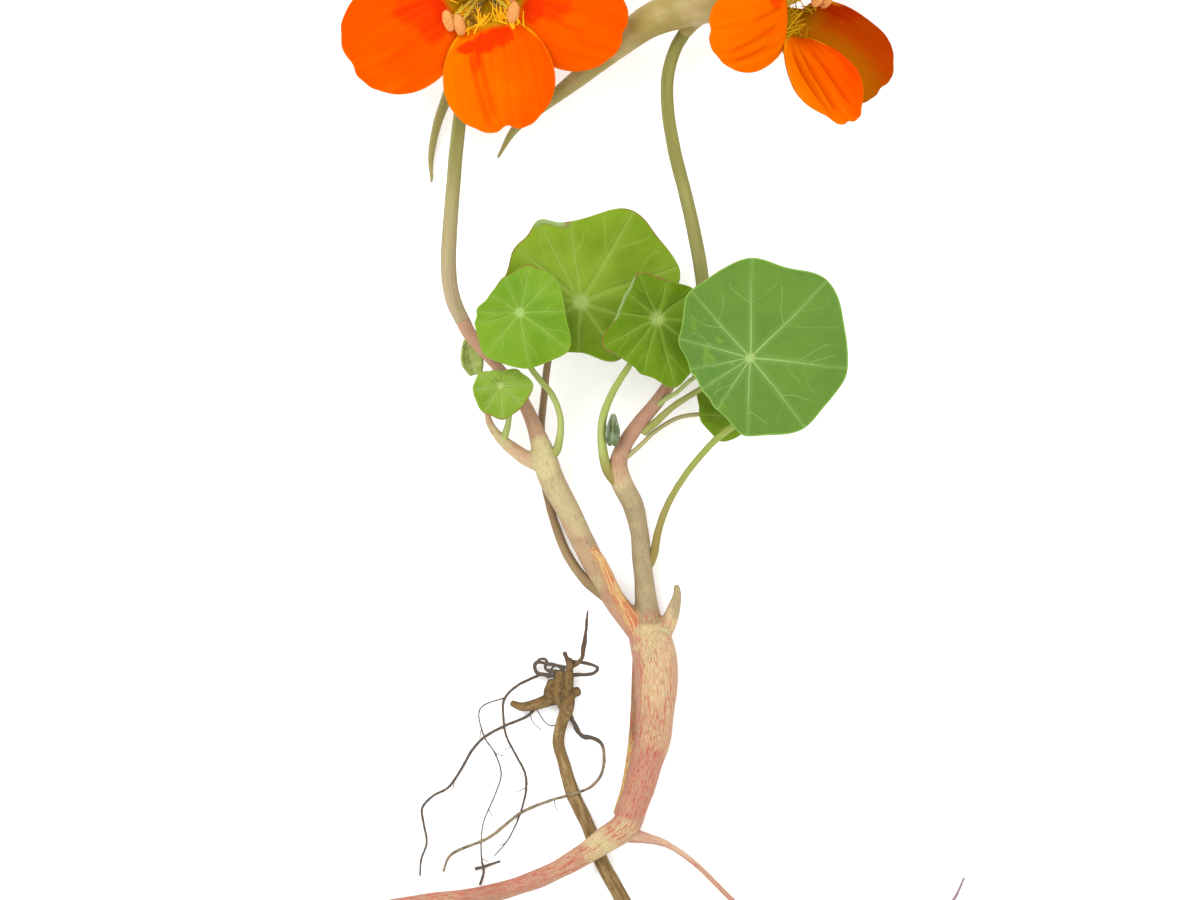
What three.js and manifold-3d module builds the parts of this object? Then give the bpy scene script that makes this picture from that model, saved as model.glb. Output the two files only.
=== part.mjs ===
// A nasturtium plant pulled up with its root and laid flat: two orange flowers on long stalks,
// six round leaves, a thick pale stem that forks, and a brown root with fine roots.
// Millimetres, +Z up. The table is z = 0.
// Places are first given from the middle of the view, and the whole plant is then moved so that
// the origin is the middle of the ground that it covers.

import * as THREE from "three";
import { mergeVertices } from "three/addons/utils/BufferGeometryUtils.js";
import Module from "manifold-3d";

const wasm = await Module();
wasm.setup();

const degrees = THREE.MathUtils.degToRad;
const { clamp, lerp, smoothstep } = THREE.MathUtils;

// Driving dimensions

const PLANT_MIDDLE = { x: 5.96, y: -4.04 };
const LEAF_THICKNESS = 0.7;
const PETAL_THICKNESS = 0.7;
const SEPAL_THICKNESS = 0.7;
const STALK_SIDES = 8;
const THIN_STALK_SIDES = 6;
const FINE_ROOT_SIDES = 4;
const LEAF_RINGS = 3;
const LEAF_SPOKES = 30;
const PETAL_ROWS = 10;
const PETAL_COLUMNS = 8;

// A leaf's margin dips between two veins by this share of its distance from the hub
const MARGIN_DIP = 0.035;

// Routes: each point is x, y, height of the centre line and radius

const MAIN_STEM = [
  [9.1, -103.15, 1.6, 1.55],
  [7.9, -106.2, 1.6, 1.6],
  [3, -109.4, 1.6, 1.6],
  [-6, -111, 1.6, 1.6],
  [-18.5, -111, 1.6, 1.6],
  [-32.5, -108, 1.6, 1.6],
  [-44.5, -101.5, 1.6, 1.6],
  [-51.8, -94.5, 1.6, 1.6],
  [-51.2, -88, 1.6, 1.6],
  [-45.5, -84.2, 1.7, 1.6],
  [-38.5, -82.6, 1.8, 1.6],
  [-32, -81.4, 2, 1.6],
  [-25, -80.6, 2.3, 1.6],
  [-17, -79, 3, 1.65],
  [-10, -76.5, 4.1, 1.7],
  [-3.5, -73, 5.2, 1.9],
  [1, -70, 5.6, 2.4],
  [4.5, -67.5, 5.3, 2.7],
  [6, -64, 4.3, 2.5],
  [7.5, -59.5, 2.9, 2.75],
  [9.5, -52, 2.6, 3.1],
  [10, -45, 3.2, 3.7],
  [10, -38.5, 3.4, 3.9],
  [9, -33.5, 3.7, 4.2],
  [9, -31, 4, 3.2],
];

const LEFT_BRANCH = [
  [8.5, -34, 4, 2.6],
  [5.2, -30.2, 4, 2.1],
  [2.1, -26.2, 4.2, 1.9],
  [-0.7, -21.3, 4.4, 1.95],
  [-3.2, -16.2, 4.9, 2.1],
  [-6, -10.5, 5.8, 2.15],
  [-9, -4.5, 6.9, 2.25],
  [-10, -1, 7.4, 2.3],
  [-11, 2, 7.7, 1.55],
  [-12.5, 6, 8, 1.25],
  [-14.5, 10, 8.4, 1.1],
  [-18, 14.5, 9, 1],
  [-21, 18, 9.4, 1.15],
  [-23.5, 21, 9.5, 1.35],
  [-24.6, 23.2, 9.5, 1.3],
];

const RIGHT_BRANCH = [
  [9, -34, 3.8, 2.8],
  [8.5, -29, 4.4, 2.15],
  [8, -24.5, 4.3, 1.8],
  [7.5, -19, 4.4, 1.75],
  [7, -14.5, 4.8, 1.65],
  [6, -10, 5.4, 1.85],
  [4, -6, 6.1, 2.1],
  [3.2, -3, 6.6, 1.75],
  [4.3, 0.7, 7.2, 1.4],
  [7.2, 5, 7.8, 1.3],
  [10.5, 9, 8.2, 1.3],
  [13.5, 13.5, 8.7, 1.2],
  [17, 19, 9, 1.2],
  [18.5, 24.2, 9, 1.2],
];

const TORN_FLAP = [
  [7.7, -34, 5.2, 1.9],
  [5.6, -30, 6, 1.2],
  [3.1, -25.9, 6.1, 0.95],
  [-0.2, -18.6, 6.5, 0.75],
];

const TORN_STUB = [
  [10, -34, 4.2, 2.2],
  [12.3, -31, 4.6, 1.5],
  [13.4, -28, 4.8, 1.15],
  [14.4, -25, 5, 0.8],
];

const STEM_STRIP = [
  [6.7, -36, 2.8, 1],
  [6, -41.5, 2.2, 0.6],
  [5.8, -47, 1.7, 0.55],
  [5.4, -53, 1.6, 0.55],
  [4.7, -60.5, 2.2, 0.6],
  [3.3, -65.2, 3.9, 0.8],
];

const SIDE_SHOOT = [
  [-9.4, -3, 7.2, 1.5],
  [-13, -1.6, 7.8, 1.45],
  [-16, 0.5, 8.2, 1.15],
  [-18.2, 2.5, 8.5, 1.05],
  [-19.6, 4.5, 8.6, 0.6],
  [-20.3, 6.8, 8.2, 0.55],
  [-21, 9.7, 7.4, 0.5],
  [-22, 12.6, 6.4, 0.5],
];

const LEFT_FLOWER_STALK = [
  [-24.8, 23.6, 9.5, 1.3],
  [-26.3, 27, 9.5, 1.4],
  [-27.2, 32.4, 9.2, 1.4],
  [-27.1, 38.7, 8.8, 1.35],
  [-26.5, 46.8, 8.6, 1.3],
  [-25.7, 55, 9.2, 1.25],
  [-24.5, 63, 10, 1.2],
  [-23, 69.8, 11, 1.15],
  [-22.3, 72.5, 11.5, 1.2],
];

const RIGHT_FLOWER_STALK = [
  [18.7, 24.9, 9, 1.2],
  [18.4, 30, 9, 1.25],
  [17.1, 38, 9, 1.25],
  [15.3, 46, 9, 1.2],
  [13.3, 54, 9, 1.2],
  [12.2, 61, 9, 1.15],
  [12.2, 67, 9.1, 1.15],
  [13.6, 72, 9.3, 1.1],
  [14.9, 74.2, 9.5, 1.2],
];

const BARE_STALK = [
  [7.1, -69.5, 4.6, 1.1],
  [11.3, -70.5, 3.8, 0.85],
  [14.4, -72.3, 2.8, 0.7],
  [18, -75.2, 1.8, 0.62],
  [24, -81.2, 0.9, 0.56],
  [31, -87.6, 0.6, 0.5],
  [40.5, -91.3, 0.5, 0.45],
  [50.5, -90.2, 0.5, 0.42],
  [58.3, -85.3, 0.6, 0.38],
  [62.8, -80.3, 0.8, 0.35],
  [65.5, -77, 1, 0.3],
];

const ROOT_STEM = [
  [-6, -44, 2.6, 1.5],
  [-6, -46.5, 2, 1.3],
  [-7, -49.5, 1.6, 1],
  [-7.5, -52.5, 1.3, 1.1],
  [-6.5, -56.5, 1.2, 1.1],
  [-5, -61.5, 1.2, 1.2],
  [-2.5, -67, 1.25, 1.25],
  [0, -73.4, 1.3, 1.3],
  [3, -79.2, 1.35, 1.35],
  [6.6, -85.6, 1.4, 1.4],
  [9.6, -92, 1.45, 1.45],
  [10.4, -98, 1.5, 1.5],
  [9.3, -102.5, 1.55, 1.5],
];

const ROOT_CROWN = {
  rod: [[-5.5, -37.6, 3.2, 0.8], [-5.5, -41, 3, 0.9], [-5.8, -44.5, 2.6, 1.2]],
  mass: [[-8, -40, 2.4, 1], [-8.2, -42.5, 2.2, 1.5], [-7, -45, 2.2, 1.5], [-6, -47, 2, 1.1]],
  leftLeg: [[-7.5, -44.5, 2, 1.2], [-10.8, -45.6, 1.5, 1], [-13.9, -46.3, 1.1, 0.8],
    [-15.9, -45.6, 0.9, 0.5]],
  rightBump: [[-6, -44, 2.4, 1.1], [-3.9, -43.4, 2.2, 0.9]],
  stub: [[-5.6, -38.4, 3, 0.5], [-6.4, -36.4, 3.2, 0.45]],
  upright: [[-5, -39, 2.8, 0.5], [-3.4, -37.6, 2.4, 0.5], [-2.9, -35, 1.8, 0.6], [-2.6, -33, 1.2, 0.4],
    [-2.2, -28.8, 0.6, 0.3]],
  rightLoop: [[-5, -38, 2.6, 0.45], [-2.1, -38.4, 2, 0.45], [-0.4, -39.2, 1.6, 0.45],
    [-1.1, -40.1, 1.6, 0.45], [-5, -40.5, 2.4, 0.45]],
  leftLoop: [[-5.5, -39.2, 2.8, 0.45], [-9.1, -38.5, 2, 0.4], [-11.6, -38.3, 1.4, 0.4],
    [-11.4, -40, 1.2, 0.45], [-8, -40.6, 2, 0.45]],
};

const FINE_ROOTS = {
  outer: [[-11, -45.8, 1.3, 0.5], [-13, -47.8, 0.7, 0.45], [-17.3, -49.7, 0.45, 0.4],
    [-21, -51.8, 0.4, 0.4], [-23, -54, 0.4, 0.4], [-25.2, -57.8, 0.4, 0.38],
    [-27.4, -60.8, 0.4, 0.38], [-30, -62.2, 0.4, 0.36], [-32, -64.4, 0.4, 0.35],
    [-31.8, -67, 0.4, 0.34], [-31.2, -70.7, 0.4, 0.32], [-32.2, -73.7, 0.4, 0.3],
    [-32.4, -76.6, 0.35, 0.26]],
  crossing: [[-6, -46.4, 1.6, 0.6], [-5, -48.6, 1, 0.55], [-3.2, -51.5, 0.7, 0.55],
    [-1.4, -51.8, 0.6, 0.55], [0.2, -52.8, 0.55, 0.5], [0.7, -55.2, 0.5, 0.48],
    [0.2, -58.4, 0.5, 0.48], [-1.7, -60.6, 0.6, 0.46], [-4.8, -61.8, 0.8, 0.46],
    [-9.1, -63.1, 0.5, 0.45], [-14.3, -65.3, 0.45, 0.42], [-20, -69.7, 0.42, 0.4],
    [-27, -73, 0.4, 0.36], [-28.2, -75.8, 0.35, 0.28]],
  inner: [[-10.6, -40.3, 1.2, 0.45], [-15.2, -42.6, 0.6, 0.38], [-17.3, -45, 0.42, 0.38],
    [-17.4, -48, 0.4, 0.36], [-16.9, -51.4, 0.4, 0.35], [-15.2, -54.8, 0.4, 0.34],
    [-13.5, -58.2, 0.4, 0.34], [-13.3, -61, 0.4, 0.32], [-14, -64.2, 0.4, 0.32],
    [-15.2, -67.5, 0.4, 0.3], [-16.9, -70.6, 0.35, 0.28], [-19, -73, 0.32, 0.25]],
  far: [[-16.8, -44.4, 0.5, 0.36], [-21.6, -46.6, 0.4, 0.32], [-20.9, -51.4, 0.4, 0.32],
    [-18.8, -54.8, 0.38, 0.3], [-17.8, -58.3, 0.36, 0.3], [-18.8, -61.8, 0.35, 0.3],
    [-21.1, -67.5, 0.35, 0.28], [-21.3, -73.8, 0.32, 0.25], [-20.9, -75.6, 0.3, 0.22]],
};

// Leaves: hub is where the stalk meets the blade. Each vein is its angle in degrees and the distance
// from the hub to the margin along it. cup raises the margin, slope tips the blade along x and y,
// wave is the height of the margin's waves, waves how many there are and phase where they start.

const LEAVES = [
  {
    name: "back_leaf",
    colour: 0x82a528,
    hub: [-3.4, 26.5, 14],
    veins: [[20, 18.5], [60, 18.8], [97, 14.5], [118, 16.4], [140, 15.3], [172, 14.4],
      [215, 11.6], [268, 9.1], [303, 12.5], [340, 15]],
    slope: [0.02, 0.03],
    cup: 0.9,
    wave: 0.8,
    waves: 5,
    phase: 60,
    stalk: [[-3.9, -22.3, 4.1, 0.85], [-5.9, -18.7, 3, 0.85], [-8, -13.5, 2.9, 0.8], [-9.5, -8, 3.2, 0.75],
      [-10.5, -2, 3.2, 0.7], [-10.6, 4, 4, 0.7], [-10, 10, 6, 0.65], [-9.4, 15.5, 8.6, 0.65],
      [-8.3, 20, 10.6, 0.65], [-6, 24, 12, 0.65], [-3.8, 26, 12.7, 0.65]],
    stalkColour: 0x9a7a50,
  },
  {
    name: "left_leaf",
    colour: 0x73a52d,
    hub: [-14.3, 24.5, 20],
    veins: [[2, 8.1], [45, 8.9], [78, 8.7], [112, 7], [150, 6.2], [178, 7.7],
      [195, 8.3], [231, 9.8], [280, 10.1], [322, 11]],
    slope: [0.03, 0],
    cup: 0.6,
    wave: 0.5,
    waves: 5,
    phase: 0,
    stalk: [[-7.6, 0.7, 8.4, 0.7], [-7.1, 3, 9.2, 0.6], [-7.2, 6.3, 10.2, 0.55], [-8.6, 9.9, 11.4, 0.55],
      [-10.8, 12.6, 12.8, 0.55], [-12.6, 15.2, 14.6, 0.55], [-13.5, 19.4, 16.8, 0.55],
      [-14.2, 23.6, 18.6, 0.6]],
    stalkColour: 0xafc35a,
  },
  {
    name: "small_leaf",
    colour: 0x73a52d,
    hub: [-17.8, 11.5, 15.5],
    veins: [[0, 5.9], [39, 4.3], [82, 2.7], [124, 3.1], [150, 4.5], [190, 5],
      [238, 5.7], [274, 6.1], [317, 5.5]],
    slope: [0, 0.04],
    cup: 0.5,
    wave: 0.3,
    waves: 4,
    phase: 30,
    stalk: [[-16.8, 3.5, 9.3, 0.55], [-16.3, 6, 10.4, 0.5], [-16.7, 9, 12.4, 0.5],
      [-17.5, 11.1, 14.2, 0.5]],
    stalkColour: 0xafc35a,
  },
  {
    name: "middle_leaf",
    colour: 0x699114,
    hub: [10.2, 23.5, 20],
    veins: [[38, 8.2], [75, 7], [113, 8.7], [140, 7.2], [172, 7.1], [208, 11],
      [232, 9.5], [256, 10.4], [284, 12.7], [320, 10.9], [355, 9.6]],
    slope: [-0.02, 0.02],
    cup: 0.9,
    wave: 0.5,
    waves: 5,
    phase: 100,
    stalk: [[1, -2.3, 7.9, 0.85], [0.4, 1, 9, 0.8], [0.5, 5.5, 11, 0.75], [1.8, 9.4, 13.2, 0.65],
      [3.6, 12.6, 15.4, 0.6], [6, 16.2, 17.2, 0.55], [8.3, 19.8, 18.2, 0.55], [9.8, 22.8, 18.7, 0.6]],
    stalkColour: 0xa0b446,
  },
  {
    name: "right_leaf",
    colour: 0x709e42,
    hub: [26.7, 16.4, 26],
    veins: [[-6, 17.4], [45, 19.4], [89, 17.8], [132, 15.9], [165, 13.2], [191, 11],
      [213, 10.4], [237, 11], [268, 14], [308, 15.8]],
    slope: [-0.03, 0.02],
    cup: 0.8,
    wave: 0.9,
    waves: 5,
    phase: 45,
    stalk: [[10.7, 5.6, 8.6, 0.8], [13, 7.7, 9.4, 0.7], [17.5, 10.6, 12.6, 0.65], [21.6, 13.1, 17.6, 0.65],
      [24.8, 15.5, 22.4, 0.65], [26.3, 16.2, 24.5, 0.65]],
    stalkColour: 0xa0b446,
  },
  {
    name: "under_leaf",
    colour: 0x507800,
    hub: [25.9, 6.1, 10.6],
    veins: [[15, 7.6], [50, 7.4], [85, 7.2], [120, 8.4], [153, 9.4], [180, 8.1],
      [218, 6.6], [265, 3.3], [310, 4], [340, 6]],
    slope: [0.02, 0],
    cup: -0.7,
    wave: 0.3,
    waves: 4,
    phase: 0,
    stalk: [[10.2, -17.9, 4.7, 0.8], [10.4, -14.8, 4.8, 0.8], [12.1, -9.9, 5.4, 0.75],
      [15.3, -4.5, 7.4, 0.7], [18.5, -0.5, 10, 0.7], [21.1, 2.2, 12.2, 0.7], [23.2, 3.8, 12.9, 0.7],
      [25.6, 5.8, 12.2, 0.65]],
    stalkColour: 0x96963c,
  },
];

// Young folded leaves: a stalk that springs from a branch and the blade at its end. heading and rise
// are the blade's direction in degrees, fold how far its two halves stand up as a share of its width.
// A blade is footWidth of its full width at its foot, its corners are drawn back by drawnBack of its
// length, and a full fold narrows it by narrowed of its width.

const YOUNG_BLADE = { thickness: 0.6, rows: 5, columns: 4, footWidth: 0.25, drawnBack: 0.18, narrowed: 0.3 };

const YOUNG_LEAVES = [
  {
    name: "left_bud",
    colour: 0xa5b950,
    foot: [-22.3, 13.5, 6],
    heading: 104,
    rise: 4,
    length: 6.8,
    halfWidth: 2.2,
    fold: 0.5,
  },
  {
    name: "folded_leaf",
    colour: 0x829678,
    foot: [2.2, 0.9, 9.6],
    heading: 88,
    rise: 22,
    length: 6,
    halfWidth: 1.5,
    fold: 0.8,
  },
  {
    name: "pale_young_leaf",
    colour: 0xa5b950,
    foot: [17.6, 13.5, 14.6],
    heading: 72,
    rise: 14,
    length: 7,
    halfWidth: 2.6,
    fold: 0.5,
    stalk: [[12, 9.3, 10, 0.42], [13.6, 10.2, 11.4, 0.42], [15.6, 12, 13.2, 0.4], [17.9, 13.8, 14.8, 0.4]],
  },
  {
    name: "pink_young_leaf",
    colour: 0x96a050,
    foot: [19.8, 6.6, 7.1],
    heading: -8,
    rise: -8,
    length: 7,
    halfWidth: 2.4,
    fold: 0.5,
    stalk: [[6.9, 0.1, 7.4, 0.42], [10, 3.4, 7.2, 0.42], [14.4, 5.9, 7, 0.4], [20.3, 6.6, 7.1, 0.4]],
  },
];

// Flowers. A flower's own z axis is the way that it faces and its y axis points to the two upper
// petals. Each petal has its angle round that axis, and its lean from the axis in degrees at the
// claw, at the foot of the blade and at the tip.

const CALYX = {
  depth: 5,
  baseRadius: 2.4,
  rimRadius: 5.7,
  wall: 0.7,
  baseHeight: 0.3,
  floor: 1,
  floorRim: 1.2,
  sides: 10,
};

// A sepal starts a little inside and below the cup's rim. drawnBack rounds its end, and taper is the
// part of a quarter wave, in radians, over which it narrows.
const SEPAL = {
  length: 12,
  halfWidth: 2.6,
  footLean: 55,
  inside: 0.4,
  below: 0.6,
  drawnBack: 0.12,
  taper: 1.25,
};

// The claw starts foot from the flower's axis and start above the floor of the cup's base. The petal
// opens from opensBefore before the claw's end to opensAfter past it.
const CLAW = {
  foot: 2.3,
  start: 2.8,
  length: 8,
  footHalfWidth: 0.65,
  halfWidth: 1.1,
  opensBefore: 2.5,
  opensAfter: 3,
};

// A blade is round: it opens to its full width at widest of its length, and the rest is half an
// ellipse. A lower roundness gives it broader shoulders, and its edge has this many waves.
const BLADE = { widest: 0.5, roundness: 0.6, notchSharpness: 40, waves: 2.5 };

// The hairs start a little before the claw's end, and each is shorter than the last
const FRINGE = {
  count: 4,
  length: 2.1,
  shortening: 0.28,
  radius: 0.32,
  before: 1.2,
  spacing: 1.15,
  rootAt: 0.75,
  lift: 0.9,
};

const STAMEN = {
  length: 12,
  lengthStep: 0.5,
  footHeight: 2.3,
  footRadius: 0.35,
  filamentRadius: 0.35,
  antherRadius: 0.9,
  antherLength: 1.9,
};
const STAMEN_BOSS = { radius: 1.1, flatness: 0.6, height: 2.26 };

const FLOWERS = [
  {
    name: "left",
    centre: [-20.7, 82.4, 12.2],
    faces: [0.02, -0.04, 1],
    up: [0, 1, 0],
    petals: [
      {
        name: "bottom_petal", angle: -81, leans: [35, 78, 104],
        blade: 19, halfWidth: 10, cup: 0.05, wave: 0.7, notch: 1.2,
      },
      {
        name: "left_petal", angle: -151.5, leans: [38, 80, 104],
        blade: 20.6, halfWidth: 10.4, cup: -0.06, wave: 0.9, notch: 0.8,
      },
      {
        name: "right_petal", angle: -18, leans: [38, 80, 104],
        blade: 19.2, halfWidth: 9.4, cup: -0.06, wave: 0.9, notch: 0.5,
      },
      {
        name: "upper_left_petal", angle: 122, leans: [24, 66, 90],
        blade: 19.5, halfWidth: 10.6, cup: 0.04, wave: 0.8, notch: 0.6,
      },
      {
        name: "upper_right_petal", angle: 52, leans: [34, 76, 100],
        blade: 19.5, halfWidth: 10, cup: 0.04, wave: 0.8, notch: 0.6,
      },
    ],
    sepals: [[-51, 110], [-116, 110], [165, 110], [87, 110], [17, 110]],
    stamenAngles: [-126, -139, -39, 175, -5, 130, 90, 50],
    stamenLeans: [38, 41, 28, 24, 22, 22, 14, 22],
    spur: [[-20.8, 82, 12.4, 3], [-21.6, 78.6, 10.2, 3.1], [-23, 74, 7.6, 2.7], [-25, 69, 5.4, 1.8],
      [-27.3, 63.8, 3.6, 1.05], [-29.3, 58.4, 2.2, 0.8], [-30.4, 52.6, 1.2, 0.65], [-30.3, 47.8, 0.65, 0.45]],
    boss: [[-20.9, 80, 13, 2.2], [-21.6, 76.5, 12.3, 1.5], [-22.1, 73, 11.6, 1.25]],
  },
  {
    name: "right",
    centre: [26.3, 80.8, 14.2],
    faces: [0.95, -0.06, 0.26],
    up: [0, 1, 0],
    petals: [
      {
        name: "near_petal", angle: -161, leans: [34, 104, 156],
        blade: 18.5, halfWidth: 8.9, cup: -0.14, wave: 0.7, notch: 0.4,
      },
      {
        name: "middle_petal", angle: -99, twist: 38, leans: [34, 52, 52],
        blade: 19, halfWidth: 7.2, cup: 0.1, wave: 0.9, notch: 0.4,
      },
      {
        name: "far_petal", angle: -44, twist: 56, leans: [34, 50, 51],
        blade: 19.6, halfWidth: 7.4, cup: 0.06, wave: 0.8, notch: 0.4,
      },
      {
        name: "upper_far_petal", angle: 65, leans: [34, 68, 84],
        blade: 19.5, halfWidth: 9, cup: 0.04, wave: 0.9, notch: 0.5,
      },
      {
        name: "upper_near_petal", angle: 122, leans: [24, 58, 82],
        blade: 19.5, halfWidth: 10, cup: 0.04, wave: 0.8, notch: 0.5,
      },
    ],
    sepals: [[-64, 78], [-136, 165], [160, 165], [90, 125], [12, 100]],
    stamenAngles: [165, 140, 115, 90, 65, 40, 15, 90],
    stamenLeans: [14, 18, 16, 22, 17, 18, 14, 6],
    spur: [[26.6, 80.7, 14.4, 3], [21, 80.3, 14.4, 3.8], [15, 79, 14, 3.6], [9, 76.8, 13, 3],
      [2.3, 71.8, 11.4, 2.3], [-4.3, 66.3, 9.6, 1.6], [-10.8, 61.3, 7.8, 1.05],
      [-15.3, 57.5, 6.2, 0.8], [-18.5, 52.2, 4.8, 0.6]],
    boss: [[19, 79.2, 13.6, 2.4], [16.8, 76.9, 11, 1.6], [15.2, 74.9, 9.8, 1.25]],
  },
];

// Colours of what isn't listed above

const COLOURS = {
  stem: 0xd7af8c,
  flowerStalk: 0x9c9a50,
  bareStalk: 0xb4a078,
  root: 0x7a6030,
  calyx: 0xb9a03c,
  petal: 0xff6a00,
  stamen: 0xffa850,
};

// Solids

function signedVolume(positions, triangles) {
  const [a, b, c] = [new THREE.Vector3(), new THREE.Vector3(), new THREE.Vector3()];
  let volume = 0;
  for (let i = 0; i < triangles.length; i += 3) {
    a.fromArray(positions, 3 * triangles[i]);
    b.fromArray(positions, 3 * triangles[i + 1]);
    c.fromArray(positions, 3 * triangles[i + 2]);
    volume += a.dot(b.cross(c)) / 6;
  }
  return volume;
}

// A closed geometry as a solid, its seams welded, its empty triangles dropped and its faces outward
function solidOf(geometry) {
  const bare = geometry.clone();
  bare.deleteAttribute("normal");
  bare.deleteAttribute("uv");
  const welded = mergeVertices(bare, 1e-4);
  const positions = welded.attributes.position.array;
  const corners = welded.index.array;
  const triangles = [];
  for (let i = 0; i < corners.length; i += 3) {
    const [a, b, c] = corners.slice(i, i + 3);
    if (a !== b && b !== c && c !== a) triangles.push(a, b, c);
  }
  if (signedVolume(positions, triangles) < 0) triangles.reverse();
  return new wasm.Manifold(new wasm.Mesh({
    numProp: 3,
    vertProperties: Float32Array.from(positions),
    triVerts: Uint32Array.from(triangles),
  }));
}

function geometryOf(solid) {
  const { vertProperties, triVerts } = solid.getMesh();
  const geometry = new THREE.BufferGeometry();
  geometry.setAttribute("position", new THREE.BufferAttribute(Float32Array.from(vertProperties), 3));
  geometry.setIndex(new THREE.BufferAttribute(Uint32Array.from(triVerts), 1));
  geometry.computeVertexNormals();
  return geometry;
}

function joined(solids) {
  return solids.reduce((whole, solid) => whole.add(solid));
}

// A round stalk of changing thickness along a route: a turned rod bent to the curve
function stalk(route, sides, step) {
  const places = route.map(([x, y, z]) => new THREE.Vector3(x, y, z));
  const curve = new THREE.CatmullRomCurve3(places, false, "centripetal");
  const steps = Math.max(3, Math.round(curve.getLength() / step));
  const frames = curve.computeFrenetFrames(steps, false);
  const profile = [new THREE.Vector2(0, 0)];
  for (let i = 0; i <= steps; i++) profile.push(new THREE.Vector2(1, i));
  profile.push(new THREE.Vector2(0, steps));
  const geometry = new THREE.LatheGeometry(profile, sides);
  const position = geometry.attributes.position;
  const place = new THREE.Vector3();
  for (let i = 0; i < position.count; i++) {
    const station = Math.round(position.getY(i));
    const t = curve.getUtoTmapping(station / steps);
    const reach = t * (route.length - 1);
    const before = Math.min(Math.floor(reach), route.length - 2);
    const radius = lerp(route[before][3], route[before + 1][3], reach - before);
    curve.getPoint(t, place);
    place.addScaledVector(frames.normals[station], radius * position.getX(i));
    place.addScaledVector(frames.binormals[station], radius * position.getZ(i));
    position.setXYZ(i, place.x, place.y, place.z);
  }
  return solidOf(geometry);
}

// A thin sheet on a grid: the same triangles on both faces and a rim round it. A closed sheet goes
// round a hub, so that its first and last columns meet.
function sheet({ rows, columns, closed, pointAt, normalAt, thickness }) {
  const across = columns + 1;
  const count = (rows + 1) * across;
  const positions = [];
  for (const side of [0.5, -0.5]) {
    for (let row = 0; row <= rows; row++) {
      for (let column = 0; column <= columns; column++) {
        const at = closed ? column % columns : column;
        const point = pointAt(row / rows, at / columns);
        point.addScaledVector(normalAt(row / rows, at / columns), side * thickness);
        positions.push(point.x, point.y, point.z);
      }
    }
  }
  const triangles = [];
  const quad = (a, b, c, d) => triangles.push(a, b, c, a, c, d);
  for (let row = 0; row < rows; row++) {
    for (let column = 0; column < columns; column++) {
      const corner = row * across + column;
      triangles.push(corner, corner + across, corner + across + 1, corner, corner + across + 1, corner + 1);
      const under = corner + count;
      triangles.push(under, under + across + 1, under + across, under, under + 1, under + across + 1);
    }
    if (!closed) {
      const left = row * across;
      const right = left + columns;
      quad(left, left + count, left + across + count, left + across);
      quad(right, right + across, right + across + count, right + count);
    }
  }
  for (let column = 0; column < columns; column++) {
    const tip = rows * across + column;
    quad(tip, tip + count, tip + 1 + count, tip + 1);
    if (!closed) quad(column, column + 1, column + 1 + count, column + count);
  }
  const geometry = new THREE.BufferGeometry();
  geometry.setAttribute("position", new THREE.BufferAttribute(Float32Array.from(positions), 3));
  geometry.setIndex(triangles);
  return solidOf(geometry);
}

// Leaf blades

// Distance from the hub to the margin: even between two veins, with a shallow dip halfway
function marginAt(veins, angle) {
  const count = veins.length;
  for (let i = 0; i < count; i++) {
    const [from, near] = veins[i];
    const [to, far] = veins[(i + 1) % count];
    const span = (to - from + 360) % 360;
    const part = ((angle - from + 720) % 360) / span;
    const dip = 1 - MARGIN_DIP * Math.sin(Math.PI * part) ** 2;
    if (part <= 1) return lerp(near, far, smoothstep(part, 0, 1)) * dip;
  }
  return veins[0][1];
}

function leafBlade(leaf) {
  const pointAt = (out, round) => {
    const angle = 360 * round;
    const distance = out * marginAt(leaf.veins, angle);
    const x = distance * Math.cos(degrees(angle));
    const y = distance * Math.sin(degrees(angle));
    const rise = leaf.cup + leaf.wave * Math.sin(degrees(leaf.waves * angle + leaf.phase));
    const z = leaf.slope[0] * x + leaf.slope[1] * y + out * out * rise;
    return new THREE.Vector3(leaf.hub[0] + x, leaf.hub[1] + y, leaf.hub[2] + z);
  };
  const normalAt = () => new THREE.Vector3(0, 0, 1);
  return sheet({
    rows: LEAF_RINGS, columns: LEAF_SPOKES, closed: true, pointAt, normalAt, thickness: LEAF_THICKNESS,
  });
}

// A young leaf folded along its middle, in the shape of a spoon
function foldedBlade(young) {
  const along = new THREE.Vector3(
    Math.cos(degrees(young.heading)) * Math.cos(degrees(young.rise)),
    Math.sin(degrees(young.heading)) * Math.cos(degrees(young.rise)),
    Math.sin(degrees(young.rise)),
  );
  const side = new THREE.Vector3(0, 0, 1).cross(along).normalize();
  const up = along.clone().cross(side);
  const pointAt = (out, over) => {
    const across = 2 * over - 1;
    const width = young.halfWidth * lerp(YOUNG_BLADE.footWidth, 1, Math.sin(Math.PI * lerp(0.1, 0.9, out)));
    const back = YOUNG_BLADE.drawnBack * young.length * across * across * out;
    const point = new THREE.Vector3(...young.foot);
    point.addScaledVector(along, young.length * out - back);
    point.addScaledVector(side, width * across * (1 - YOUNG_BLADE.narrowed * young.fold));
    return point.addScaledVector(up, young.fold * width * across * across);
  };
  const normalAt = () => up;
  const { rows, columns, thickness } = YOUNG_BLADE;
  return sheet({ rows, columns, closed: false, pointAt, normalAt, thickness });
}

// Flowers

function flowerFrame(flower) {
  const axis = new THREE.Vector3(...flower.faces).normalize();
  const side = new THREE.Vector3(...flower.up).cross(axis).normalize();
  const up = axis.clone().cross(side);
  return new THREE.Matrix4().makeBasis(side, up, axis).setPosition(...flower.centre);
}

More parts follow.
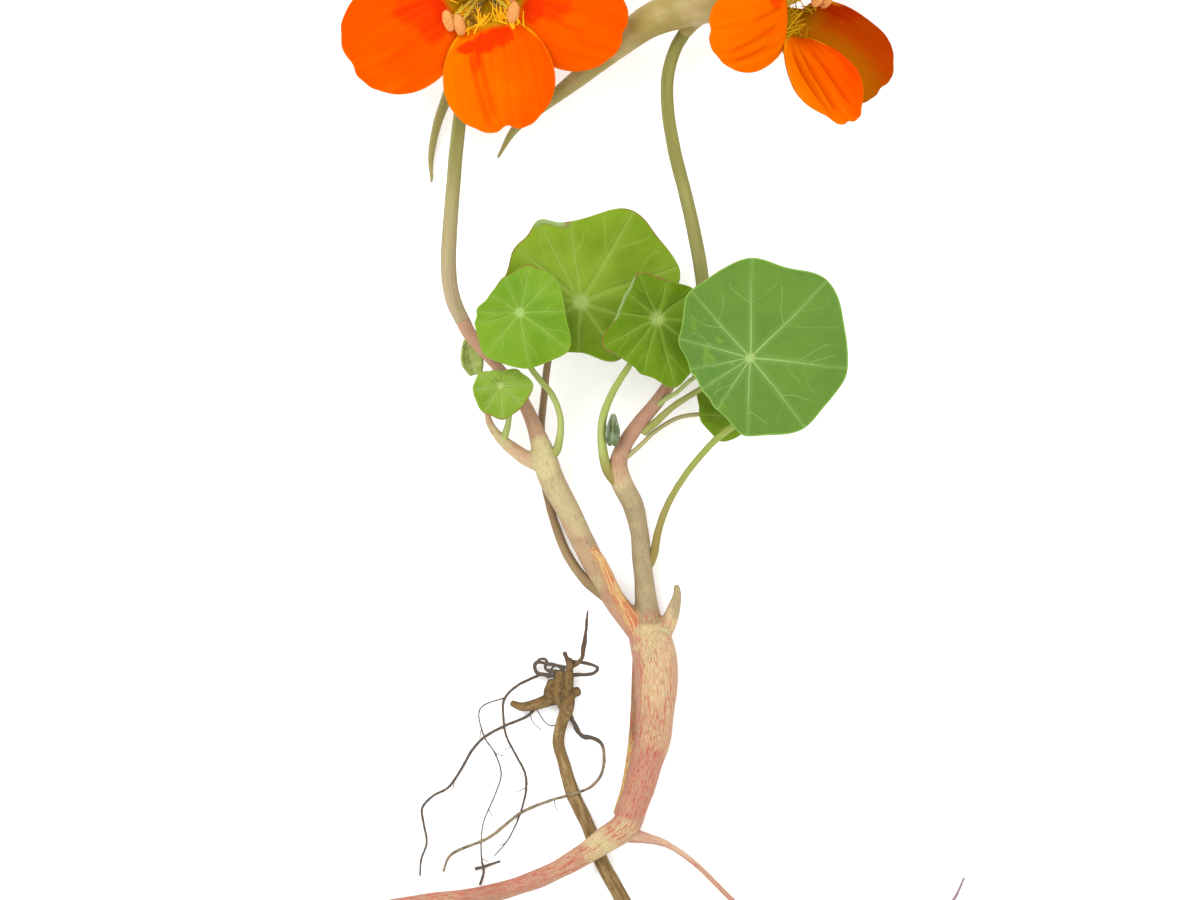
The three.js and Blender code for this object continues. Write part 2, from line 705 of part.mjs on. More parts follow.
// The middle line of a petal: distance from the flower's axis, height along it and lean, by the
// length gone along the petal
function petalSpine(petal) {
  const total = CLAW.length + petal.blade;
  const pieces = 60;
  const spine = [{ out: CLAW.foot, up: CLAW.start, lean: degrees(petal.leans[0]) }];
  for (let i = 1; i <= pieces; i++) {
    const gone = (total * i) / pieces;
    const opened = smoothstep(gone, CLAW.length - CLAW.opensBefore, CLAW.length + CLAW.opensAfter);
    const onBlade = clamp((gone - CLAW.length) / petal.blade, 0, 1);
    const lean = degrees(lerp(petal.leans[0], lerp(petal.leans[1], petal.leans[2], onBlade), opened));
    const last = spine[i - 1];
    const step = total / pieces;
    spine.push({ out: last.out + step * Math.sin(lean), up: last.up + step * Math.cos(lean), lean });
  }
  return (gone) => {
    const reach = clamp((gone / total) * pieces, 0, pieces - 1e-6);
    const before = Math.floor(reach);
    const part = reach - before;
    const [a, b] = [spine[before], spine[before + 1]];
    return { out: lerp(a.out, b.out, part), up: lerp(a.up, b.up, part), lean: lerp(a.lean, b.lean, part) };
  };
}

// A point of a petal's middle surface and the direction that its face looks in there, from the foot
// of the claw (0) to the tip (1) and from edge to edge (-1 to 1)
function petalPoint(petal, spine, out, across) {
  const total = CLAW.length + petal.blade;
  const gone = out * total;
  const onBlade = clamp((gone - CLAW.length) / petal.blade, 0, 1);
  const corner = (1 - BLADE.widest) * petal.blade * (1 - Math.sqrt(1 - across * across));
  const notch = petal.notch * Math.exp(-BLADE.notchSharpness * across * across);
  const reached = gone - onBlade * (corner + notch);
  const opened = clamp((reached - CLAW.length) / (BLADE.widest * petal.blade), 0, 1);
  const widening = Math.pow(opened * (2 - opened), BLADE.roundness);
  const clawHalfWidth = lerp(CLAW.footHalfWidth, CLAW.halfWidth, clamp(gone / CLAW.length, 0, 1));
  const halfWidth = lerp(clawHalfWidth, petal.halfWidth, widening);
  const place = spine(reached);
  const turn = degrees(petal.angle);
  const radial = new THREE.Vector3(Math.cos(turn), Math.sin(turn), 0);
  const tangential = new THREE.Vector3(-Math.sin(turn), Math.cos(turn), 0);
  const normal = radial.clone().multiplyScalar(-Math.cos(place.lean)).setZ(Math.sin(place.lean));
  const lift = petal.cup * petal.halfWidth * across * across * widening
    + petal.wave * onBlade * onBlade * Math.sin(BLADE.waves * Math.PI * across) * across * across;
  const twist = degrees(petal.twist ?? 0) * widening;
  const side = tangential.clone().multiplyScalar(Math.cos(twist)).addScaledVector(normal, Math.sin(twist));
  const face = normal.multiplyScalar(Math.cos(twist)).addScaledVector(tangential, -Math.sin(twist));
  const point = radial.multiplyScalar(place.out).setZ(place.up);
  point.addScaledVector(side, halfWidth * across).addScaledVector(face, lift);
  return { point, face };
}

function sheetNormal(pointAt, out, over) {
  const small = 0.02;
  const along = pointAt(Math.min(1, out + small), over).sub(pointAt(Math.max(0, out - small), over));
  const across = pointAt(out, Math.min(1, over + small)).sub(pointAt(out, Math.max(0, over - small)));
  return along.cross(across).normalize().negate();
}

// Pointed hairs on both sides of a lower petal, where the claw meets the blade
function fringe(petal, spine) {
  const hairs = [];
  for (const side of [-1, 1]) {
    for (let i = 0; i < FRINGE.count; i++) {
      const gone = CLAW.length - FRINGE.before + FRINGE.spacing * i;
      const out = gone / (CLAW.length + petal.blade);
      const root = petalPoint(petal, spine, out, side * FRINGE.rootAt).point;
      const edge = petalPoint(petal, spine, out, side).point;
      const away = edge.clone().sub(root).normalize();
      const end = edge.clone().addScaledVector(away, FRINGE.length - FRINGE.shortening * i);
      end.z += FRINGE.lift;
      const cone = new THREE.ConeGeometry(FRINGE.radius, 1, 4);
      cone.translate(0, 0.5, 0);
      const length = end.distanceTo(root);
      cone.scale(1, length, 1);
      const along = end.clone().sub(root).normalize();
      const turn = new THREE.Quaternion().setFromUnitVectors(new THREE.Vector3(0, 1, 0), along);
      cone.applyQuaternion(turn).translate(root.x, root.y, root.z);
      hairs.push(solidOf(cone));
    }
  }
  return hairs;
}

function petalSolid(petal, hasFringe) {
  const spine = petalSpine(petal);
  const acrossAt = (over) => Math.sin(Math.PI * (over - 0.5));
  const pointAt = (out, over) => petalPoint(petal, spine, out, acrossAt(over)).point;
  const normalAt = (out, over) => petalPoint(petal, spine, out, acrossAt(over)).face;
  const blade = sheet({
    rows: PETAL_ROWS, columns: PETAL_COLUMNS, closed: false, pointAt, normalAt, thickness: PETAL_THICKNESS,
  });
  return hasFringe ? joined([blade, ...fringe(petal, spine)]) : blade;
}

// A sepal bends evenly from the lean at its foot to the lean at its tip
function sepal([angle, tipLean]) {
  const turn = degrees(angle);
  const footLean = degrees(SEPAL.footLean);
  const bend = (degrees(tipLean) - footLean) / SEPAL.length;
  const radial = new THREE.Vector3(Math.cos(turn), Math.sin(turn), 0);
  const tangential = new THREE.Vector3(-Math.sin(turn), Math.cos(turn), 0);
  const pointAt = (out, over) => {
    const across = 2 * over - 1;
    const gone = SEPAL.length * out * (1 - SEPAL.drawnBack * across * across);
    const lean = footLean + bend * gone;
    const outward = (Math.cos(footLean) - Math.cos(lean)) / bend;
    const point = radial.clone().multiplyScalar(CALYX.rimRadius - SEPAL.inside + outward);
    point.z = CALYX.depth - SEPAL.below + (Math.sin(lean) - Math.sin(footLean)) / bend;
    return point.addScaledVector(tangential, SEPAL.halfWidth * across * Math.cos(SEPAL.taper * out));
  };
  const normalAt = (out, over) => sheetNormal(pointAt, out, over);
  return sheet({ rows: 4, columns: 2, closed: false, pointAt, normalAt, thickness: SEPAL_THICKNESS });
}

function lathe(profile, sides) {
  const points = profile.map(([radius, height]) => new THREE.Vector2(radius, height));
  return solidOf(new THREE.LatheGeometry(points, sides).rotateX(Math.PI / 2));
}

// The cup of the calyx with its five sepals, the spur behind it and the end of its stalk
function calyxSolid(flower, frame) {
  const { depth, baseRadius, rimRadius, wall, baseHeight, floor, floorRim, sides } = CALYX;
  const middleRadius = lerp(baseRadius, rimRadius, 0.7);
  const outside = [[0, 0], [baseRadius, baseHeight], [middleRadius, depth * 0.5], [rimRadius, depth]];
  const inside = [
    [rimRadius - wall, depth],
    [middleRadius - wall, depth * 0.55],
    [baseRadius - wall, floorRim],
    [0, floor],
  ];
  const cup = lathe([...outside, ...inside], sides);
  const hollow = lathe([[0, 2 * depth], [rimRadius - wall, 2 * depth], ...inside], sides);
  const own = joined([cup, ...flower.sepals.map(sepal)]);
  const behind = joined([stalk(flower.spur, STALK_SIDES, 3), stalk(flower.boss, STALK_SIDES, 2.5)]);
  const place = (solid) => solidOf(geometryOf(solid).applyMatrix4(frame));
  return place(own).add(behind.subtract(place(hollow)));
}

function stamensSolid(flower) {
  const boss = new THREE.SphereGeometry(STAMEN_BOSS.radius, 6, 4);
  boss.scale(1, 1, STAMEN_BOSS.flatness).translate(0, 0, STAMEN_BOSS.height);
  const pieces = [solidOf(boss)];
  flower.stamenAngles.forEach((angle, i) => {
    const turn = degrees(angle);
    const lean = degrees(flower.stamenLeans[i]);
    const reach = STAMEN.length + STAMEN.lengthStep * (i % 3);
    const leanAt = (gone) => lean * lerp(0.5, 1, gone / reach);
    const out = (gone) => STAMEN.footRadius + gone * Math.sin(leanAt(gone));
    const up = (gone) => STAMEN.footHeight + gone * Math.cos(leanAt(gone));
    const place = (gone) => [out(gone) * Math.cos(turn), out(gone) * Math.sin(turn), up(gone)];
    const route = [0, reach / 2, reach].map((gone) => [...place(gone), STAMEN.filamentRadius]);
    pieces.push(stalk(route, 3, 4));
    const anther = new THREE.SphereGeometry(STAMEN.antherRadius, 5, 3);
    anther.scale(1, 1, STAMEN.antherLength / STAMEN.antherRadius);
    anther.rotateY(lean).rotateZ(turn).translate(...place(reach));
    pieces.push(solidOf(anther));
  });
  return joined(pieces);
}

// The scene

const plant = new THREE.Group();

function addPiece(name, solid, colour, roughness = 0.6) {
  const material = new THREE.MeshStandardMaterial({ color: colour, roughness, metalness: 0 });
  const mesh = new THREE.Mesh(geometryOf(solid), material);
  mesh.name = name;
  plant.add(mesh);
}

function stemSolid() {
  const parts = [
    stalk(MAIN_STEM, 10, 4),
    stalk(LEFT_BRANCH, STALK_SIDES, 3.5),
    stalk(RIGHT_BRANCH, STALK_SIDES, 3.5),
    stalk(TORN_FLAP, THIN_STALK_SIDES, 4),
    stalk(TORN_STUB, THIN_STALK_SIDES, 3),
    stalk(STEM_STRIP, 5, 4.5),
    stalk(SIDE_SHOOT, THIN_STALK_SIDES, 3),
  ];
  const belowTable = new THREE.BoxGeometry(200, 300, 10).translate(0, 0, -5);
  return joined(parts).subtract(solidOf(belowTable));
}

function rootSolid() {
  const parts = [
    stalk(ROOT_STEM, STALK_SIDES, 4),
    ...Object.values(ROOT_CROWN).map((route) => stalk(route, 5, 2.5)),
    ...Object.values(FINE_ROOTS).map((route) => stalk(route, FINE_ROOT_SIDES, 4)),
  ];
  return joined(parts);
}

addPiece("stem", stemSolid(), COLOURS.stem);
addPiece("root", rootSolid(), COLOURS.root, 0.8);
addPiece("left_flower_stalk", stalk(LEFT_FLOWER_STALK, STALK_SIDES, 4), COLOURS.flowerStalk);
addPiece("right_flower_stalk", stalk(RIGHT_FLOWER_STALK, STALK_SIDES, 4), COLOURS.flowerStalk);
addPiece("bare_stalk", stalk(BARE_STALK, THIN_STALK_SIDES, 4), COLOURS.bareStalk);

for (const leaf of LEAVES) {
  addPiece(leaf.name, leafBlade(leaf), leaf.colour);
  addPiece(`${leaf.name}_stalk`, stalk(leaf.stalk, THIN_STALK_SIDES, 3.5), leaf.stalkColour);
}

for (const young of YOUNG_LEAVES) {
  const blade = foldedBlade(young);
  addPiece(young.name, young.stalk ? blade.add(stalk(young.stalk, 5, 3.5)) : blade, young.colour);
}

for (const flower of FLOWERS) {
  const frame = flowerFrame(flower);
  const place = (solid) => solidOf(geometryOf(solid).applyMatrix4(frame));
  addPiece(`${flower.name}_flower_calyx`, calyxSolid(flower, frame), COLOURS.calyx);
  addPiece(`${flower.name}_flower_stamens`, place(stamensSolid(flower)), COLOURS.stamen);
  flower.petals.forEach((petal, i) => {
    addPiece(`${flower.name}_flower_${petal.name}`, place(petalSolid(petal, i < 3)), COLOURS.petal, 0.5);
  });
}

plant.position.set(-PLANT_MIDDLE.x, -PLANT_MIDDLE.y, 0);

export default plant;
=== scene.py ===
import bpy
import numpy as np
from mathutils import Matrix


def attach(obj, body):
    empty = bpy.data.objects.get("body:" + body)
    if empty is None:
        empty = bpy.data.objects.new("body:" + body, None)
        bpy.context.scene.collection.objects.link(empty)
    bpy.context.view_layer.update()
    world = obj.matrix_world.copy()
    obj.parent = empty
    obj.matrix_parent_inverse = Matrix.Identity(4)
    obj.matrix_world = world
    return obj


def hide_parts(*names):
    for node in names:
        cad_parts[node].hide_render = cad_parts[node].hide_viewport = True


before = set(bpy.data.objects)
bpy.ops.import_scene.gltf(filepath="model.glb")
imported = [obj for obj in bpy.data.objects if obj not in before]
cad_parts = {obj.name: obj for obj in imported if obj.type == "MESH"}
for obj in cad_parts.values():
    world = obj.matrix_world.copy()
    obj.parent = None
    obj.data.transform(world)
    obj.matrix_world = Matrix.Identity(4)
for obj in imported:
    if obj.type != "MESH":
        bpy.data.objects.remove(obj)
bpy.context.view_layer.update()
print("frame loaded")

# Places are in mm from the middle of the view. The plant's middle is then made the origin, in metres.
plantMiddle = np.array([5.96, -4.04, 0.0])
metre = 0.001

# camera, floor and light

studio = {
    "distance": 2.0,  # metres from the lens to the table
    "viewWidth": 0.216,  # metres of the table that the picture takes in from side to side
    "sensor": 36.0,
    "worldStrength": 1.45,
    "lampSize": 0.8,
    "lampPower": 9.5,
    "lampPlace": (-0.5, 0.6, 1.1),
    "fillPower": 2.4,
    "fillPlace": (0.7, -0.5, 0.9),
    "brightness": 1.7,  # how many times brighter than its own colour a surface looks
}


def intoScene(name, content):
    thing = bpy.data.objects.new(name, content)
    bpy.context.scene.collection.objects.link(thing)
    return thing


def makeCamera():
    # looks straight down, its long lens as wide as the view at the table's distance
    lens = bpy.data.cameras.new("camera")
    lens.type = "PERSP"
    lens.sensor_width = studio["sensor"]
    lens.lens = studio["sensor"] * studio["distance"] / studio["viewWidth"]
    camera = intoScene("camera", lens)
    camera.location = (-plantMiddle[0] * metre, -plantMiddle[1] * metre, studio["distance"])
    bpy.context.scene.camera = camera


def makeLamp(name, place, power):
    # a round soft lamp that looks at the plant's middle
    lamp = bpy.data.lights.new(name, "AREA")
    lamp.shape = "DISK"
    lamp.size = studio["lampSize"]
    lamp.energy = power
    holder = intoScene(name, lamp)
    holder.location = place
    holder.rotation_euler = (-holder.location.normalized()).to_track_quat("-Z", "Y").to_euler()


makeCamera()
makeLamp("soft_lamp", studio["lampPlace"], studio["lampPower"])
makeLamp("fill_lamp", studio["fillPlace"], studio["fillPower"])
world = bpy.data.worlds.new("studio")
world.use_nodes = True
world.node_tree.nodes["Background"].inputs["Color"].default_value = (1, 1, 1, 1)
world.node_tree.nodes["Background"].inputs["Strength"].default_value = studio["worldStrength"]
bpy.context.scene.world = world
bpy.context.scene.view_settings.view_transform = "Standard"
print("studio ready")

# materials


def colour(tint):
    # A colour as it looks in this light, 0 to 255, turned into the surface's own colour. A value above
    # 255 is for a surface that stands in shade.
    share = np.array(tint) / 255.0
    light = np.where(share <= 0.04045, share / 12.92, ((share + 0.055) / 1.055) ** 2.4)
    return (*(float(v) for v in light / studio["brightness"]), 1.0)


class Field:
    # A number that varies over the surface. Sums and products of it add their Math nodes.
    def __init__(self, paint, socket):
        self.paint = paint
        self.socket = socket

    def combine(self, operation, first, second):
        node = self.paint.node("ShaderNodeMath", {"operation": operation}, {0: first, 1: second})
        return Field(self.paint, node.outputs[0])

    def __add__(self, other):
        return self.combine("ADD", self, other)

    def __radd__(self, other):
        return self.combine("ADD", other, self)

    def __sub__(self, other):
        return self.combine("SUBTRACT", self, other)

    def __rsub__(self, other):
        return self.combine("SUBTRACT", other, self)

    def __mul__(self, other):
        return self.combine("MULTIPLY", self, other)

    def __rmul__(self, other):
        return self.combine("MULTIPLY", other, self)

    def __truediv__(self, other):
        return self.combine("DIVIDE", self, other)

    def rise(self, low, high):
        # 0 below low and 1 above high, smooth between
        sockets = {"Value": self, "From Min": low, "From Max": high}
        node = self.paint.node("ShaderNodeMapRange", {"interpolation_type": "SMOOTHSTEP"}, sockets)
        return Field(self.paint, node.outputs["Result"])


class Paint:
    # One material in the making. Its skin is the colour so far, which each layer goes over. A pattern's
    # values are how fine it is, how many finer layers it has and how strong they are, and fibres have
    # two finenesses, along the grain and across it.
    def __init__(self, name, **fixed):
        self.material = bpy.data.materials.new(name)
        self.material.use_nodes = True
        self.tree = self.material.node_tree
        self.surface = self.tree.nodes["Principled BSDF"]
        self.skin = None
        for socket, value in fixed.items():
            self.surface.inputs[socket.replace("_", " ")].default_value = value

    def node(self, kind, settings=None, sockets=None):
        node = self.tree.nodes.new(kind)
        for key, value in (settings or {}).items():
            setattr(node, key, value)
        for key, value in (sockets or {}).items():
            self.feed(node.inputs[key], value)
        return node

    def feed(self, socket, value):
        if isinstance(value, Field):
            self.tree.links.new(value.socket, socket)
        else:
            socket.default_value = value

    def attribute(self, name, output="Fac"):
        node = self.node("ShaderNodeAttribute", {"attribute_name": name})
        return Field(self, node.outputs[output])

    def place(self):
        # the point of the object, in mm
        point = self.node("ShaderNodeTexCoord").outputs["Object"]
        return self.scaled(Field(self, point), [1 / metre] * 3)

    def scaled(self, vector, factors):
        node = self.node("ShaderNodeVectorMath", {"operation": "MULTIPLY"}, {0: vector, 1: factors})
        return Field(self, node.outputs[0])

    def vector(self, x, y, z):
        return Field(self, self.node("ShaderNodeCombineXYZ", {}, {0: x, 1: y, 2: z}).outputs[0])

    def noise(self, vector, scale, detail, roughness):
        sockets = {"Vector": vector, "Scale": scale, "Detail": detail, "Roughness": roughness}
        return Field(self, self.node("ShaderNodeTexNoise", {}, sockets).outputs[0])

    def fibres(self, along, across, detail, roughness):
        stretched = self.scaled(self.attribute("grain", "Vector"), (along, across, across))
        return self.noise(stretched, 1.0, detail, roughness)

    def cells(self, vector, scale):
        # distance to the edge of the nearest cell
        sockets = {"Vector": vector, "Scale": scale}
        node = self.node("ShaderNodeTexVoronoi", {"feature": "DISTANCE_TO_EDGE"}, sockets)
        return Field(self, node.outputs["Distance"])

    def mix(self, factor, first, second):
        # from the first to the second, each a colour or a field of colours
        first, second = (tint if isinstance(tint, Field) else colour(tint) for tint in (first, second))
        node = self.node("ShaderNodeMix", {"data_type": "RGBA"}, {0: factor, 6: first, 7: second})
        return Field(self, node.outputs[2])

    def lay(self, amount, tint):
        self.skin = self.mix(amount, self.skin, tint)

    def bump(self, height, distance, strength):
        sockets = {"Height": height, "Distance": distance * metre, "Strength": strength}
        return Field(self, self.node("ShaderNodeBump", {}, sockets).outputs["Normal"])

    def finish(self, **links):
        for socket, value in {"Base_Color": self.skin, **links}.items():
            self.feed(self.surface.inputs[socket.replace("_", " ")], value)
        return self.material


# shapes

rollingMake = {"waves": 8, "slowest": 0.6, "fastest": 1.6, "evenOut": 3.2}
routeMake = {"pieces": 40, "window": 5}  # cubic steps on a stretch, and steps that even out the radius
roundEnd = {"turns": [75, 50, 25], "blunt": 0.5, "tip": 0.1}


def smooth(value, low, high):
    # 0 below low, 1 above high and an S between
    part = np.clip((value - low) / (high - low), 0, 1)
    return part * part * (3 - 2 * part)


def between(first, second, part):
    # a straight run from the first value to the second
    return first + (second - first) * part


def unit(vectors):
    # the same directions, 1 long
    return vectors / np.maximum(np.linalg.norm(vectors, axis=-1, keepdims=True), 1e-9)


def rolling(points, size, seed):
    # smooth chance values of about -1 to 1: sine waves in chance directions, about size mm long
    chance = np.random.default_rng(seed)
    count = rollingMake["waves"]
    directions = unit(chance.normal(size=(count, points.shape[-1])))
    speeds = 2 * np.pi / size * chance.uniform(rollingMake["slowest"], rollingMake["fastest"], count)
    starts = chance.uniform(0, 2 * np.pi, count)
    return np.sin(points @ directions.T * speeds + starts).sum(axis=-1) / rollingMake["evenOut"]


def alongRoute(route, spacing):
    # A smooth curve through the route's points: a cubic on each stretch, whose slopes at its ends are
    # weighted by the roots of the neighbouring distances. Returns even steps along it: centres, radii
    # and the length gone.
    knots = np.array(route, dtype=float)
    beyond = 2 * knots[[0, -1], :3] - knots[[1, -2], :3]
    points = np.vstack([beyond[:1], knots[:, :3], beyond[1:]])
    gaps = np.sqrt(np.linalg.norm(np.diff(points, axis=0), axis=1))[:, None]
    before, start, end, after = points[:-3], points[1:-2], points[2:-1], points[3:]
    near, here, far = gaps[:-2], gaps[1:-1], gaps[2:]
    slopeIn = (start - before) / near - (end - before) / (near + here) + (end - start) / here
    slopeOut = (end - start) / here - (after - start) / (here + far) + (after - end) / far
    slopeIn, slopeOut = slopeIn * here, slopeOut * here
    part = (np.arange(routeMake["pieces"]) / routeMake["pieces"])[None, :, None]
    bend = -3 * start + 3 * end - 2 * slopeIn - slopeOut
    twist = 2 * start - 2 * end + slopeIn + slopeOut
    curve = start[:, None] + slopeIn[:, None] * part + bend[:, None] * part**2
    curve = np.vstack([(curve + twist[:, None] * part**3).reshape(-1, 3), knots[-1:, :3]])
    reach = np.append((np.arange(len(start))[:, None] + part[0, :, 0]).ravel(), len(start))
    radii = np.interp(reach, np.arange(len(knots)), knots[:, 3])
    gone = np.append(0, np.cumsum(np.linalg.norm(np.diff(curve, axis=0), axis=1)))
    even = np.linspace(0, gone[-1], max(4, int(round(gone[-1] / spacing))) + 1)
    centres = np.stack([np.interp(even, gone, curve[:, axis]) for axis in range(3)], axis=1)
    window = routeMake["window"]
    thick = np.pad(np.interp(even, gone, radii), window, "edge")
    thick = np.convolve(thick, np.ones(2 * window + 1) / (2 * window + 1), "valid")
    return centres, thick, even


def closedTurning(grid, firstPoint, lastPoint):
    # rings of points, one after another, closed by a point before the first and one after the last
    rows, sides = grid.shape[:2]
    corner = np.arange(sides)
    follow = (corner + 1) % sides
    row = np.arange(rows - 1)[:, None] * sides
    ring = [row + corner, row + follow, row + sides + follow, row + sides + corner]
    start, end = (np.full(sides, rows * sides + extra) for extra in (0, 1))
    base = (rows - 1) * sides
    startFan = np.stack([start, follow, corner], 1)
    endFan = np.stack([end, base + corner, base + follow], 1)
    return {
        "points": np.vstack([grid.reshape(-1, 3), [firstPoint], [lastPoint]]),
        "quads": np.stack(ring, -1).reshape(-1, 4),
        "triangles": np.vstack([startFan, endFan]),
        "fields": {},
    }


def tube(route, sides, spacing, lumps=0.0, ribs=0, ribDepth=0.0, upward=(0, 0, 1), seed=1):
    # A circle carried along the route, with rounded ends. Its radius is the route's, times ribs round
    # it and chance lumps along it. Upward is the way that the circle's top looks. The tube's grain is
    # the length gone and the offset from the middle line.
    centres, radii, gone = alongRoute(route, spacing)
    ahead = unit(np.gradient(centres, axis=0))
    turn = np.radians(roundEnd["turns"])
    blunt = roundEnd["blunt"]
    first = centres[0] - ahead[0] * (radii[0] * blunt * np.sin(turn))[:, None]
    last = centres[-1] + ahead[-1] * (radii[-1] * blunt * np.sin(turn[::-1]))[:, None]
    radii = np.concatenate([radii[0] * np.cos(turn), radii, radii[-1] * np.cos(turn[::-1])])
    centres = np.vstack([first, centres, last])
    ahead = np.pad(ahead, ((len(turn), len(turn)), (0, 0)), "edge")
    gone = np.pad(gone, len(turn), "edge")
    side = unit(np.cross(np.array(upward, dtype=float), ahead))
    top = np.cross(ahead, side)
    angle = np.arange(sides) * 2 * np.pi / sides
    ring = side[:, None] * np.cos(angle)[None, :, None] + top[:, None] * np.sin(angle)[None, :, None]
    wide = radii[:, None] * (1 + ribDepth * np.cos(ribs * angle))[None, :]
    if lumps:
        surface = centres[:, None] + ring * radii[:, None, None]
        wide = wide * (1 + lumps * rolling(surface, 5 * radii.mean(), seed))
    firstTip = centres[0] - ahead[0] * radii[0] * roundEnd["tip"]
    lastTip = centres[-1] + ahead[-1] * radii[-1] * roundEnd["tip"]
    shape = closedTurning(centres[:, None] + ring * wide[..., None], firstTip, lastTip)
    offset = [(radii[:, None] * np.cos(angle)).ravel(), (radii[:, None] * np.sin(angle)).ravel()]
    grain = np.stack([np.repeat(gone, sides), *offset], 1)
    shape["fields"]["grain"] = np.vstack([grain, [[gone[0], 0, 0], [gone[-1], 0, 0]]])
    return shape


def tubes(routes, sides, spacing, lumps, firstSeed):
    # a tube on each route, each with lumps of its own
    numbered = enumerate(routes, firstSeed)
    return [tube(route, sides, spacing, lumps=lumps, seed=seed) for seed, route in numbered]


def shell(grid, thickness, wrapped, fields, normal=None):
    # A sheet with an upper face, an under face and a rim. Half its thickness lies on each side of the
    # grid, whose rows run outward and whose columns run round or across. A wrapped sheet closes on
    # itself, and its first row is one point. A given normal is the direction that its face looks in.
    rows, columns = grid.shape[:2]
    if normal is None:
        along = np.gradient(grid, axis=0)
        if wrapped:
            across = (np.roll(grid, -1, 1) - np.roll(grid, 1, 1)) / 2
            across[0], along[0] = across[1], along[1]
        else:
            across = np.gradient(grid, axis=1)
        normal = unit(np.cross(along, across))
        if wrapped:
            normal[0] = unit(normal[1].mean(axis=0))
    half = normal * (np.broadcast_to(thickness, (rows, columns)) / 2)[..., None]
    count = rows * columns
    number = np.arange(count).reshape(rows, columns)
    if wrapped:
        number[0] = 0
        number = np.hstack([number, number[:, :1]])
    here, there = number[:, :-1], number[:, 1:]
    face = np.stack([here[:-1], here[1:], there[1:], there[:-1]], -1).reshape(-1, 4)
    tip = np.stack([here[-1], here[-1] + count, there[-1] + count, there[-1]], -1)
    faces = [face, face[:, ::-1] + count, tip]
    if not wrapped:
        foot = np.stack([here[0], there[0], there[0] + count, here[0] + count], -1)
        left, leftNext = number[:-1, 0], number[1:, 0]
        right, rightNext = number[:-1, -1], number[1:, -1]
        leftRim = np.stack([left, left + count, leftNext + count, leftNext], -1)
        rightRim = np.stack([right, rightNext, rightNext + count, right + count], -1)
        faces += [foot, leftRim, rightRim]
    faces = np.vstack(faces)
    pointed = faces[:, 0] == faces[:, 3]  # a face on the one point of the first row is a triangle
    onePoint = {key: value.reshape(count, *value.shape[2:]) for key, value in fields.items()}
    return {
        "points": np.vstack([(grid + half).reshape(-1, 3), (grid - half).reshape(-1, 3)]),
        "quads": faces[~pointed],
        "triangles": faces[pointed][:, :3],
        "fields": {
            **{key: np.concatenate([value, value]) for key, value in onePoint.items()},
            "under": np.repeat([0.0, 1.0], count),
        },
    }


def combined(parts):
    # several closed shapes in one, a field that one of them lacks being nought there
    names = {name: value.shape[1:] for part in parts for name, value in part["fields"].items()}
    offsets = np.cumsum([0] + [len(part["points"]) for part in parts])
    whole = {"points": np.vstack([part["points"] for part in parts]), "fields": {}}
    for kind in ("quads", "triangles"):
        whole[kind] = np.vstack([part[kind] + shift for part, shift in zip(parts, offsets)])
    for name, form in names.items():
        values = [part["fields"].get(name, np.zeros((len(part["points"]), *form))) for part in parts]
        whole["fields"][name] = np.concatenate(values)
    return whole


def meshOf(name, shape):
    # the shape as a mesh, without the points that no face uses
    used = np.unique(np.concatenate([shape["quads"].ravel(), shape["triangles"].ravel()]))
    renumber = np.zeros(len(shape["points"]), dtype=int)
    renumber[used] = np.arange(len(used))
    points = (shape["points"][used] - plantMiddle) * metre
    faces = renumber[shape["quads"]].tolist() + renumber[shape["triangles"]].tolist()
    mesh = bpy.data.meshes.new(name)
    mesh.from_pydata(points.tolist(), [], faces)
    for field, value in shape["fields"].items():
        kind, key = ("FLOAT", "value") if value.ndim == 1 else ("FLOAT_VECTOR", "vector")
        layer = mesh.attributes.new(field, kind, "POINT")
        layer.data.foreach_set(key, value[used].astype(np.float32).ravel())
    mesh.shade_smooth()
    return mesh


def makePiece(name, shape, material, slot, *nodes):
    # one piece of the plant, in place of the solids of these nodes
    piece = intoScene(name, meshOf(name, shape))
    piece.data.materials.append(material)
    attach(piece, "root")
    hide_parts(*nodes)


def grown(parts, voxel, rounds):
    # shapes that overlap become one skin, smoothed where they meet
    trial = intoScene("growing", meshOf("growing", combined(parts)))
    skin = trial.modifiers.new("skin", "REMESH")
    skin.mode = "VOXEL"
    skin.voxel_size = voxel * metre
    soften = trial.modifiers.new("soften", "SMOOTH")
    soften.factor = 0.5
    soften.iterations = rounds
    depsgraph = bpy.context.evaluated_depsgraph_get()
    result = trial.evaluated_get(depsgraph).to_mesh()
    points = np.empty(len(result.vertices) * 3, dtype=np.float32)
    result.vertices.foreach_get("co", points)
    corners = np.empty(len(result.loops), dtype=np.int32)
    result.loops.foreach_get("vertex_index", corners)
    trial.evaluated_get(depsgraph).to_mesh_clear()
    bpy.data.objects.remove(trial)
    return {
        "points": points.reshape(-1, 3) / metre + plantMiddle,
        "quads": corners.reshape(-1, 4),
        "triangles": np.zeros((0, 3), dtype=int),
        "fields": {},
    }


